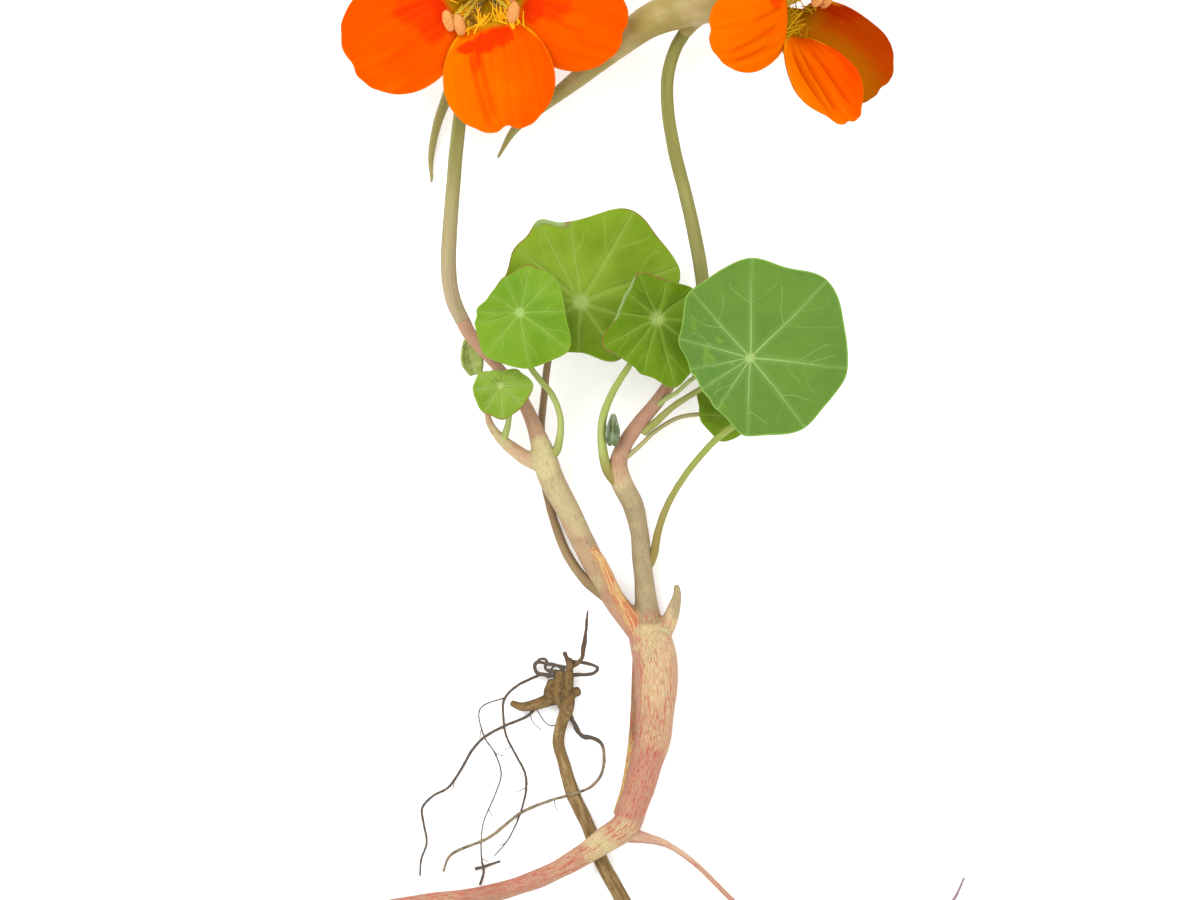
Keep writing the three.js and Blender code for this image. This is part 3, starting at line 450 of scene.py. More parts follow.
def grainOf(points, routes, spacing):
    # for each point, the length gone on the route whose surface is nearest, its offset from that
    # route's middle line and the route's number
    lines = [alongRoute(route, spacing) for route in routes]
    centres, radii, gone = (np.concatenate([line[part] for line in lines]) for part in range(3))
    which = np.concatenate([np.full(len(line[0]), number) for number, line in enumerate(lines)])
    ahead = np.vstack([unit(np.gradient(line[0], axis=0)) for line in lines])
    side = unit(np.cross([0.0, 0.0, 1.0], ahead))
    top = np.cross(ahead, side)
    nearest = np.concatenate([
        np.argmin(np.sqrt(((chunk[:, None] - centres[None]) ** 2).sum(-1)) - radii, axis=1)
        for chunk in np.array_split(points, max(1, len(points) // 3000))
    ])
    offset = points - centres[nearest]
    away = [(offset * side[nearest]).sum(1), (offset * top[nearest]).sum(1)]
    return np.stack([gone[nearest] + 90.0 * which[nearest], *away], 1), which[nearest].astype(float)


def steepness(shape):
    # for each point, 0 where the surface looks straight up or down and 1 where it looks sideways
    points, total = shape["points"], np.zeros_like(shape["points"])
    for faces in (shape["quads"], shape["triangles"]):
        if len(faces):
            first, second, third = (points[faces[:, corner]] for corner in range(3))
            normal = np.cross(second - first, third - first)
            for corner in faces.T:
                np.add.at(total, corner, normal)
    return 1 - np.abs(unit(total)[:, 2])


def marked(shape, **values):
    # the same value of each field at every point
    for name, value in values.items():
        shape["fields"][name] = np.full(len(shape["points"]), float(value))
    return shape


# stem

# Each stop of a route is x, y, height and radius. Along the lines the skin differs: each is x, y to
# x, y, how far it reaches to each side and how strong it is. A pair called north, south or east is how
# far that way from the middle of the view a colour begins to change and has changed.
stem = {
    "voxel": 0.27, "sides": 28,
    "routes": {
        "main": [
            [9.1, -103.15, 1.6, 1.55], [7.9, -106.2, 1.6, 1.6], [3, -109.4, 1.6, 1.6], [-6, -111, 1.6, 1.6],
            [-18.5, -111, 1.6, 1.6], [-32.5, -108, 1.6, 1.6], [-44.5, -101.5, 1.6, 1.6],
            [-51.8, -94.5, 1.6, 1.6], [-51.2, -88, 1.6, 1.6], [-45.5, -84.2, 1.7, 1.6],
            [-38.5, -82.6, 1.8, 1.6], [-32, -81.4, 2, 1.6], [-25, -80.6, 2.3, 1.6], [-17, -79, 3, 1.65],
            [-10, -76.5, 4.1, 1.7], [-3.5, -73, 5.2, 1.9], [1, -70, 5.6, 2.4], [4.5, -67.5, 5.3, 2.7],
            [6, -64, 4.3, 2.5], [7.5, -59.5, 2.9, 2.75], [9.5, -52, 2.6, 3.1], [10, -45, 3.2, 3.7],
            [10, -38.5, 3.4, 3.9], [9, -33.5, 3.7, 4.2], [9, -31.4, 4, 3.2],
        ],
        "leftBranch": [
            [8.5, -34, 4, 2.6], [5.2, -30.2, 4, 2.1], [2.1, -26.2, 4.2, 1.9], [-0.7, -21.3, 4.4, 1.95],
            [-3.2, -16.2, 4.9, 2.1], [-6, -10.5, 5.8, 2.15], [-9, -4.5, 6.9, 2.25], [-10, -1, 7.4, 2.3],
            [-11, 2, 7.7, 1.55], [-12.5, 6, 8, 1.25], [-14.5, 10, 8.4, 1.1], [-18, 14.5, 9, 1],
            [-21, 18, 9.4, 1.15], [-23.5, 21, 9.5, 1.35], [-24.6, 23.2, 9.5, 1.3],
        ],
        "rightBranch": [
            [9, -34, 3.8, 2.8], [8.5, -29, 4.4, 2.15], [8, -24.5, 4.3, 1.8], [7.5, -19, 4.4, 1.75],
            [7, -14.5, 4.8, 1.65], [6, -10, 5.4, 1.85], [4, -6, 6.1, 2.1], [3.2, -3, 6.6, 1.75],
            [4.3, 0.7, 7.2, 1.4], [7.2, 5, 7.8, 1.3], [10.5, 9, 8.2, 1.3], [13.5, 13.5, 8.7, 1.2],
            [17, 19, 9, 1.2], [18.5, 24.2, 9, 1.2],
        ],
        "tornFlap": [
            [7.7, -34, 5.2, 1.9], [5.6, -30, 6, 1.2], [3.1, -25.9, 6.1, 0.95], [0.6, -20.4, 6.4, 0.8],
            [-0.9, -18, 6.6, 0.7],
        ],
        "tornStub": [
            [10, -34, 4.2, 2.2], [12.3, -31, 4.6, 1.5], [13.4, -28, 4.8, 1.15], [13.9, -25.6, 5, 0.85],
            [13.7, -24.4, 5, 0.3],
        ],
        "strip": [
            [6.8, -36, 2.8, 1], [6.3, -41.5, 2.2, 0.6], [6, -47, 1.8, 0.6], [5.6, -52, 1.6, 0.55],
            [4.3, -60.5, 2.2, 0.5], [3, -65.2, 3.9, 0.7],
        ],
        "sideShoot": [
            [-9.4, -3, 7.2, 1.5], [-13, -1.6, 7.8, 1.45], [-16, 0.5, 8.2, 1.15], [-18.2, 2.5, 8.5, 1.05],
            [-19.6, 4.5, 8.6, 0.6], [-20.3, 6.8, 8.2, 0.55], [-21, 9.7, 7.4, 0.5], [-22, 12.6, 6.4, 0.5],
        ],
        "sleeve": [
            [6.7, -33.2, 5.4, 0.5], [7.9, -32.3, 6.5, 0.5], [9.6, -32.1, 6.9, 0.5], [11.4, -32.2, 6.5, 0.5],
            [12.3, -32.6, 5.6, 0.5],
        ],
    },
    "lines": {
        "pink": [
            [-51, -90, -44, -102, 5, 0.9], [-44, -102, -18, -111, 5, 0.7], [-18, -111, 9, -104, 5, 0.5],
            [-62, -86, -12, -77.5, 5, 1], [-12, -77.5, -5, -74, 5, 0.75], [4.6, -66.5, 8.4, -57, 6, 1],
            [8.4, -57, 9.8, -50, 6, 0.4], [-11.2, 2, -24.5, 23.5, 3.4, 0.9], [4.2, 1, 18.5, 24.5, 3.6, 1],
            [-10, -2, -20, 5, 2.6, 0.55], [5.4, -33, 1.5, -26.5, 2.6, 0.8], [3, -4, 4.6, 1.5, 2.6, 0.9],
            [-5, -13.4, -1.5, -21, 2.2, 0.5], [6.4, -56, 6.4, -37, 1.5, 0.9],
            [13.4, -54, 13.6, -38, 1.6, 0.5],
        ],
        "olive": [
            [1.5, -25.5, -9, -5.5, 4, 0.7], [8.4, -30, 5.8, -9, 4, 1], [13.9, -29, 14.2, -25, 1.6, 0.9],
            [-23, -79.6, -19, -79, 2.6, 0.9],
        ],
        "node": [
            [-0.5, -71.5, 4.5, -68.9, 3.6, 0.7], [-9.8, -3.4, -10.4, 0.4, 3, 1],
            [-3.5, -14, -8.6, -5.5, 2.4, 0.55], [5.6, -8.6, 3.4, -4.6, 2.2, 0.3],
            [7, -32.4, 12, -32.2, 1.3, 1], [9.4, -36, 9.6, -33, 2.2, 0.6], [-17, 1.4, -19, 3.6, 1.5, 0.7],
        ],
        "bark": [[5, -108.4, 9.4, -102, 4, 1]],
        "streaks": [
            [-51, -90, -44, -102, 5, 0.9], [-44, -102, -18, -111, 5, 0.7], [9, -33, 10, -46, 6, 1],
            [10, -46, 4.5, -67, 6, 1], [-62, -86, -3, -73, 5, 1], [4, -29, 1, -22, 2.6, 0.5],
        ],
    },
    "lineFibres": (0.35, 4.0, 2, 0.55), "dashFibres": (1.3, 5.4, 3, 0.65),
    "longFibres": (0.22, 2.4, 2, 0.6), "speckFibres": (3.0, 5.2, 3, 0.65), "clouds": (0.35, 3, 0.6),
    "flapNorth": (-35, -31), "stripSouth": (36, 39), "gapNorth": (-54, -50), "gapSouth": (35, 37),
    "skinPlain": (224, 196, 148), "skinPink": (188, 124, 108), "skinOlive": (178, 161, 120),
    "skinNode": (218, 206, 150), "skinFlap": (232, 190, 124), "skinStrip": (212, 196, 116),
    "gapShadow": (132, 92, 66), "skinBark": (146, 118, 74), "stemSideShade": (176, 122, 106),
    "streakRed": (200, 88, 74), "speckDark": (142, 100, 74), "cloudPale": (228, 206, 150),
    "lineBrown": (170, 120, 92), "flapStreak": (204, 102, 72),
}


def nearLines(points, lines):
    # how strongly each point belongs to a set of lines on the ground: full beside a line, nothing
    # beyond the line's reach, smooth between
    most = np.zeros(len(points))
    for x0, y0, x1, y1, reach, strength in lines:
        run = np.array([x1 - x0, y1 - y0])
        part = np.clip(((points[:, :2] - [x0, y0]) @ run) / (run @ run), 0, 1)
        away = np.linalg.norm(points[:, :2] - [x0, y0] - part[:, None] * run, axis=1)
        most = np.maximum(most, strength * (1 - smooth(away, 0.45 * reach, reach)))
    return most


def stemMaterial():
    # pale skin with pink and olive stretches, red streaks along the grain and dark specks
    paint = Paint("stem_skin", Roughness=0.55, Specular_IOR_Level=0.2, Subsurface_Weight=0.08,
                  Subsurface_Scale=0.0008)
    pink, streaks, flap = (paint.attribute(name) for name in ("pink", "streaks", "flap"))
    names = ("lineFibres", "dashFibres", "longFibres", "speckFibres")
    line, dash, longDash, speck = (paint.fibres(*stem[name]) for name in names)
    cloud = paint.noise(paint.place(), *stem["clouds"])
    paint.skin = paint.mix(paint.attribute("olive"), stem["skinPlain"], stem["skinOlive"])
    paint.lay(pink * (0.7 + 0.6 * (cloud - 0.5)), stem["skinPink"])
    paint.lay(flap, stem["skinFlap"])
    paint.lay(paint.attribute("strip"), stem["skinStrip"])
    # painted shadow: the strip is painted dark brown where it lies in the shaded slit beside the stem
    paint.lay(paint.attribute("gap") * 0.85, stem["gapShadow"])
    paint.lay(paint.attribute("node"), stem["skinNode"])
    paint.lay(cloud.rise(0.4, 0.7) * 0.25, stem["cloudPale"])
    paint.lay(line.rise(0.5, 0.72) * 0.22, stem["lineBrown"])
    paint.lay(longDash.rise(0.55, 0.66) * (0.25 + 0.55 * streaks) * (0.2 + 0.8 * streaks),
              stem["streakRed"])
    paint.lay(dash.rise(0.49, 0.6) * streaks * (0.5 + 0.4 * pink), stem["streakRed"])
    paint.lay(speck.rise(0.52, 0.64) * (0.5 - 0.1 * streaks), stem["speckDark"])
    # painted shade: the sides that turn away from the light are painted darker and pinker
    paint.lay(paint.attribute("steep").rise(0.35, 1.0) * 0.5, stem["stemSideShade"])
    paint.lay(paint.attribute("bark"), stem["skinBark"])
    paint.lay(flap * longDash.rise(0.48, 0.58) * 0.75, stem["flapStreak"])
    height = line * 0.5 + dash * 0.3 + cloud * 0.3
    return paint.finish(Normal=paint.bump(height, distance=0.2, strength=0.5))


def makeStem():
    # tubes grown into one skin. The strip's and the flap's own colours fade in and out along y.
    names, routes = list(stem["routes"]), list(stem["routes"].values())
    parts = tubes(routes, stem["sides"], spacing=0.6, lumps=0.03, firstSeed=0)
    shape = grown(parts, stem["voxel"], rounds=3)
    points = shape["points"]
    points[:, 2] = np.maximum(points[:, 2], 0.0)
    grain, which = grainOf(points, routes, spacing=1.0)
    onFlap, onStrip = which == names.index("tornFlap"), which == names.index("strip")
    north, south = points[:, 1], -points[:, 1]
    shape["fields"] = {
        **{name: nearLines(points, lines) for name, lines in stem["lines"].items()},
        "grain": grain,
        "flap": onFlap * smooth(north, *stem["flapNorth"]),
        "strip": onStrip * smooth(south, *stem["stripSouth"]),
        # where the painted shadow of the slit lies on the strip
        "gap": onStrip * smooth(north, *stem["gapNorth"]) * smooth(south, *stem["gapSouth"]),
        "steep": steepness(shape),
    }
    makePiece("plant_stem", shape, stemMaterial(), "stem", "stem")


makeStem()
print("stem grown")

# root

root = {
    "stem": [
        [-6, -44, 2.6, 1.5], [-6, -46.5, 2, 1.3], [-7, -49.5, 1.6, 1], [-7.5, -52.5, 1.3, 1.1],
        [-6.5, -56.5, 1.2, 1.1], [-5, -61.5, 1.2, 1.2], [-2.5, -67, 1.25, 1.25], [0, -73.4, 1.3, 1.3],
        [3, -79.2, 1.35, 1.35], [6.6, -85.6, 1.4, 1.4], [9.6, -92, 1.45, 1.45], [10.4, -98, 1.5, 1.5],
        [9.2, -102.8, 1.55, 1.5],
    ],
    "crown": [
        [[-5.5, -37.6, 3.2, 0.6], [-5.5, -41, 3, 0.75], [-5.8, -44.5, 2.6, 1.1]],
        [[-7, -40, 2.4, 0.8], [-7.4, -42.5, 2.2, 1.6], [-6.8, -45, 2.2, 1.5], [-6, -47, 2, 1.1]],
        [[-8.6, -41.6, 2.1, 0.7], [-9.2, -43.6, 2, 1.1], [-8.4, -45, 2, 1]],
        [[-7.5, -44.5, 2, 1.2], [-10.8, -45.6, 1.5, 1], [-13.9, -46.3, 1.1, 0.8], [-15.9, -45.6, 0.9, 0.5]],
        [[-6, -44, 2.4, 1.1], [-3.9, -43.4, 2.2, 0.9]], [[-5.6, -38.4, 3, 0.45], [-6.4, -36.4, 3.2, 0.4]],
        [
            [-5, -39, 2.8, 0.4], [-3.4, -37.6, 2.4, 0.4], [-2.9, -35, 1.8, 0.5], [-2.6, -33, 1.2, 0.35],
            [-2.2, -28.8, 0.6, 0.2],
        ],
    ],
    "loops": [
        [
            [-5, -38, 2.6, 0.35], [-2.1, -38.4, 2, 0.3], [-0.4, -39.2, 1.6, 0.3], [-1.1, -40.1, 1.6, 0.3],
            [-5, -40.5, 2.4, 0.35],
        ],
        [
            [-5.5, -39.2, 2.8, 0.35], [-9.1, -38.5, 2, 0.3], [-11.6, -38.3, 1.4, 0.3],
            [-11.4, -40, 1.2, 0.35], [-8, -40.6, 2, 0.4],
        ],
        [
            [-11.8, -39, 1.3, 0.25], [-10.8, -37.6, 1.6, 0.25], [-9.6, -37.8, 1.8, 0.25],
            [-9.8, -39.4, 1.8, 0.3], [-7.4, -39.9, 2.4, 0.35],
        ],
        [[-9.4, -41, 1.8, 0.25], [-8.2, -38.8, 2.4, 0.2], [-6.4, -39.6, 2.8, 0.25]],
    ],
    "fine": [
        [
            [-11, -45.8, 1.3, 0.34], [-13, -47.8, 0.7, 0.26], [-17.3, -49.7, 0.36, 0.25],
            [-21, -51.8, 0.3, 0.25], [-23, -54, 0.3, 0.25], [-25.2, -57.8, 0.3, 0.24],
            [-27.4, -60.8, 0.3, 0.23], [-30, -62.2, 0.3, 0.22], [-32, -64.4, 0.28, 0.21],
            [-31.8, -67, 0.28, 0.2], [-31.2, -70.7, 0.26, 0.19], [-32.2, -73.7, 0.26, 0.18],
            [-32.4, -76.6, 0.24, 0.15],
        ],
        [
            [-6, -46.4, 1.6, 0.5], [-5, -48.6, 1, 0.4], [-3.2, -51.5, 0.7, 0.45], [-1.4, -51.8, 0.6, 0.42],
            [0.2, -52.8, 0.5, 0.3], [0.7, -55.2, 0.4, 0.27], [0.2, -58.4, 0.5, 0.27],
            [-1.7, -60.6, 1.2, 0.27], [-4.8, -61.8, 2.6, 0.28], [-9.1, -63.1, 0.7, 0.28],
            [-14.3, -65.3, 0.36, 0.28], [-20, -69.7, 0.34, 0.3], [-27, -73, 0.32, 0.26],
            [-28.2, -75.8, 0.3, 0.2],
        ],
        [
            [-10.6, -40.3, 1.2, 0.3], [-15.2, -42.6, 0.5, 0.24], [-17.3, -45, 0.32, 0.22],
            [-17.4, -48, 0.3, 0.2], [-16.9, -51.4, 0.3, 0.2], [-15.2, -54.8, 0.3, 0.2],
            [-13.5, -58.2, 0.28, 0.22], [-13.3, -61, 0.28, 0.22], [-14, -64.2, 0.28, 0.18],
            [-15.2, -67.5, 0.25, 0.14], [-16.9, -70.6, 0.22, 0.11], [-19, -73, 0.2, 0.1],
        ],
        [
            [-16.8, -44.4, 0.4, 0.13], [-21.6, -46.6, 0.3, 0.12], [-20.9, -51.4, 0.3, 0.12],
            [-18.8, -54.8, 0.28, 0.15], [-17.8, -58.3, 0.26, 0.14], [-18.8, -61.8, 0.25, 0.12],
            [-21.1, -67.5, 0.25, 0.11], [-21.3, -73.8, 0.25, 0.12], [-20.9, -75.6, 0.4, 0.3],
            [-21.6, -78.2, 0.9, 0.2],
        ],
        [[-22.4, -75.4, 0.5, 0.3], [-21, -75, 0.5, 0.4], [-19.2, -74.4, 0.4, 0.2], [-18, -74, 0.3, 0.12]],
        [[-11.6, -46.4, 1.1, 0.1], [-9.4, -49.4, 0.5, 0.1], [-7.6, -49.6, 0.9, 0.1]],
        [[-12.6, -46.8, 0.8, 0.08], [-12.2, -48.8, 0.3, 0.08], [-10.6, -50.4, 0.2, 0.07]],
    ],
    "hairs": 9, "barkLight": (176, 148, 100), "barkDark": (128, 100, 60), "speck": (80, 62, 46),
    "fineDark": (100, 88, 78), "fineLight": (164, 146, 116), "voxel": 0.2, "crownNorth": (-48, -45),
    "spikeNorth": (-40, -36), "tanSouth": (52, 55), "hairCurl": 0.5, "hairLength": (1.0, 2.6),
    "hairRadius": 0.07, "barkFibres": (0.25, 1.6, 3, 0.55), "soilClouds": (0.9, 4, 0.6),
    "speckClouds": (1.3, 3, 0.6), "crownDark": (86, 64, 38), "crownLight": (140, 108, 62),
    "side": (52, 38, 28), "spike": (98, 78, 70),
}


def hairRoutes():
    # short rootlets that leave the fine roots at a chance angle and curl along the table
    chance = np.random.default_rng(7)
    routes = []
    for _ in range(root["hairs"]):
        centres, _, _ = alongRoute(root["fine"][chance.integers(4)], 1.0)
        start = chance.integers(6, len(centres) - 3)
        ahead = centres[start + 1] - centres[start]
        heading = np.arctan2(ahead[1], ahead[0]) + chance.choice([-1, 1]) * chance.uniform(0.5, 1.3)
        curl = chance.uniform(-root["hairCurl"], root["hairCurl"])
        length = chance.uniform(*root["hairLength"])
        gone = np.linspace(0, 1, 4)
        x = centres[start, 0] + length * gone * np.cos(heading + curl * gone)
        y = centres[start, 1] + length * gone * np.sin(heading + curl * gone)
        thin = np.full(4, root["hairRadius"])
        height = np.maximum(thin, centres[start, 2] * (1 - gone))
        routes.append(np.stack([x, y, height, thin], 1))
    return routes


def rootMaterial():
    # fibrous bark, a soily crown, a grey spike, thin roots of another colour and painted shade on the sides
    paint = Paint("root_bark", Roughness=0.85, Specular_IOR_Level=0.15)
    lengthwise = paint.fibres(*root["barkFibres"])
    soil, speck = (paint.noise(paint.place(), *root[name]) for name in ("soilClouds", "speckClouds"))
    crown, steep = paint.attribute("crown"), paint.attribute("steep")
    tan = paint.attribute("tan") * soil.rise(0.3, 0.55)
    crownSkin = paint.mix(soil.rise(0.4, 0.6), root["crownDark"], root["crownLight"])
    thread = paint.mix(tan, root["fineDark"], root["fineLight"])
    paint.skin = paint.mix(lengthwise.rise(0.32, 0.68), root["barkDark"], root["barkLight"])
    paint.lay(speck.rise(0.6, 0.7) * 0.65, root["speck"])
    paint.lay(crown * 0.7, crownSkin)
    # painted shade: the sides that turn away from the light are painted dark, most on the crown
    paint.lay(steep.rise(0.35, 1.0) * (0.35 + 0.4 * crown), root["side"])
    paint.lay(paint.attribute("spike") * 0.8, root["spike"])
    paint.lay(paint.attribute("fine"), thread)
    height = lengthwise * 0.6 + soil * 0.5 + speck * 0.2
    return paint.finish(Normal=paint.bump(height, distance=0.4, strength=0.8))


def makeRoot():
    # the brown stem and its crown are one skin, and loops, fine roots and rootlets are tubes beside it
    crown = tubes(root["crown"], sides=14, spacing=0.4, lumps=0.16, firstSeed=31)
    brownStem = tube(root["stem"], sides=18, spacing=0.5, lumps=0.07, seed=30)
    skin = grown([brownStem, *crown], root["voxel"], rounds=2)
    grain, _ = grainOf(skin["points"], [root["stem"], *root["crown"]], spacing=0.8)
    north = skin["points"][:, 1]
    skin["fields"] = {
        "grain": grain,
        "crown": smooth(north, *root["crownNorth"]),
        "spike": smooth(north, *root["spikeNorth"]),
        "steep": steepness(skin),
    }
    loops = tubes(root["loops"], sides=8, spacing=0.4, lumps=0.16, firstSeed=50)
    fine = tubes(root["fine"], sides=7, spacing=0.5, lumps=0.14, firstSeed=60)
    hairs = tubes(hairRoutes(), sides=5, spacing=0.5, lumps=0.0, firstSeed=90)
    threads = [marked(part, fine=0.95) for part in loops + fine + hairs]
    fine[1]["fields"]["tan"] = smooth(-fine[1]["points"][:, 1], *root["tanSouth"])
    shape = combined([skin, *threads])
    shape["points"][:, 2] = np.maximum(shape["points"][:, 2], 0.0)
    makePiece("plant_root", shape, rootMaterial(), "root", "root")


makeRoot()
print("root laid")

# flower stalks and the bare stalk

stalks = {
    "left_flower": [
        [-24.6, 23.2, 9.5, 1.3], [-26.3, 27, 9.5, 1.4], [-27.1, 32.4, 9.2, 1.4], [-26.9, 38.7, 8.8, 1.35],
        [-26.3, 46.8, 8.6, 1.3], [-25.6, 55, 9.2, 1.25], [-24.5, 63, 10, 1.2], [-23, 69.8, 11, 1.15],
        [-22.2, 72.9, 11.6, 1.2],
    ],
    "right_flower": [
        [18.5, 24.2, 9, 1.2], [18.4, 30, 9, 1.25], [17.1, 38, 9, 1.25], [15.3, 46, 9, 1.2],
        [13.3, 54, 9, 1.2], [12.2, 61, 9, 1.15], [12.2, 67, 9.1, 1.15], [13.6, 72, 9.3, 1.1],
        [15.1, 74.6, 9.6, 1.2],
    ],
    "bare": [
        [5.2, -69, 5, 1.5], [7.6, -69.6, 4.4, 1.05], [11.3, -70.5, 3.8, 0.68], [14.4, -72.3, 2.8, 0.54],
        [18, -75.2, 1.8, 0.5], [24, -81.2, 0.9, 0.48], [31, -87.6, 0.6, 0.45], [40.5, -91.3, 0.5, 0.42],
        [50.5, -90.2, 0.5, 0.38], [58.9, -85.6, 0.6, 0.34], [63.6, -80.9, 0.8, 0.28], [65.5, -77, 1, 0.2],
    ],
    "footStrengths": {"left_flower": 1.0, "right_flower": 0.15}, "footNorth": (24, 60),
    "bareFootEast": (50, 64), "lineFibres": (0.1, 2.6, 3, 0.55), "patchFibres": (0.06, 0.5, 2, 0.5),
    "dashFibres": (0.6, 3.4, 3, 0.6), "sideDarker": 0.78,
    "skins": {
        "flower_stalk_skin": {
            "light": (172, 171, 94), "dark": (148, 146, 72), "streak": (176, 134, 104), "streaks": 0.2,
            "foot": (196, 174, 136),
        },
        "bare_stalk_skin": {
            "light": (224, 190, 158), "dark": (200, 146, 122), "streak": (192, 92, 92), "streaks": 0.85,
            "foot": (164, 140, 148),
        },
        "brown_leaf_stalk_skin": {
            "light": (172, 146, 102), "dark": (146, 118, 80), "streak": (150, 96, 84), "streaks": 0.5,
            "foot": (160, 120, 96),
        },
        "leaf_stalk_skin": {
            "light": (196, 206, 122), "dark": (166, 182, 82), "streak": (196, 156, 116), "streaks": 0.2,
            "foot": (156, 132, 66),
        },
    },
}


def stalkMaterial(name, skin):
    # a smooth stalk with fine lengthwise lines and a few streaks, another colour at its foot and sides
    # painted darker as painted shade
    paint = Paint(name, Roughness=0.5, Specular_IOR_Level=0.2, Subsurface_Weight=0.08,
                  Subsurface_Scale=0.0006)
    patterns = ("lineFibres", "patchFibres", "dashFibres")
    line, patch, dash = (paint.fibres(*stalks[pattern]) for pattern in patterns)
    paint.skin = paint.mix(patch.rise(0.3, 0.7), skin["light"], skin["dark"])
    paint.lay(paint.attribute("foot"), skin["foot"])
    paint.lay(line.rise(0.45, 0.7) * 0.4, skin["dark"])
    paint.lay(dash.rise(0.58, 0.7) * skin["streaks"], skin["streak"])
    # painted shade: the sides that turn away from the light are painted darker
    side = [stalks["sideDarker"] * value for value in skin["dark"]]
    paint.lay(paint.attribute("steep").rise(0.3, 1.0) * 0.4, side)
    return paint.finish(Normal=paint.bump(line, distance=0.2, strength=0.5))


stalkSkins = {name: stalkMaterial(name, skin) for name, skin in stalks["skins"].items()}
for side, footStrength in stalks["footStrengths"].items():
    shape = tube(stalks[side], sides=24, spacing=0.6, lumps=0.02, ribs=5, ribDepth=0.03, seed=3)
    foot = 1 - smooth(shape["points"][:, 1], *stalks["footNorth"])
    shape["fields"]["foot"] = foot * footStrength
    shape["fields"]["steep"] = steepness(shape)
    skin = stalkSkins["flower_stalk_skin"]
    makePiece(side + "_long_stalk", shape, skin, "flower_stalk", side + "_stalk")
shape = tube(stalks["bare"], sides=16, spacing=0.5, lumps=0.05, seed=5)
shape["fields"]["foot"] = smooth(shape["points"][:, 0], *stalks["bareFootEast"])
makePiece("loose_stalk", shape, stalkSkins["bare_stalk_skin"], "bare_stalk", "bare_stalk")
print("stalks laid")

# leaves

leafMake = {
    "ringGap": 0.28,  # mm between rings
    "columnGap": 0.34,  # mm between columns at the margin
    "thickness": 0.5,
    "edgeThickness": 0.24,
    "dip": 0.035,
    "pucker": 0.25,  # how high the blade bulges between veins
    "dimpleDepth": 0.35,
    "dimpleSize": 1.3,
    "swell": 0.1,
    "swellSize": 4.5,
    "curl": 0.4,  # how high a lip rises, as a share of its width
    "ragged": 0.004,  # how uneven the margin is, as a share of its distance
    "raggedRadius": 20,  # the unevenness is read on a circle of this radius
    "raggedSize": 9,
    "sway": 0.03,  # how far a vein strays from its line, in radians
    "bow": 0.07,  # how far a fork bends out, as a share of its length
    "sides": 14,
}
leafSkin = {
    "broadClouds": (0.09, 2, 0.5), "clouds": (0.45, 4, 0.6), "grit": (4.0, 3, 0.6),
    "blotches": (0.42, 1, 0.4), "netScale": 0.8, "paleBlotch": (130, 170, 60), "hub": (196, 214, 136),
    "lip": (168, 192, 128), "redRim": (150, 92, 56), "under": (160, 188, 118),
}
plainLeaf = {
    "brownStalk": False, "brownFoot": 0, "brownTo": 0.3, "slim": 1, "dips": {}, "lips": [], "red": [],
    "pale": 0.0,
}
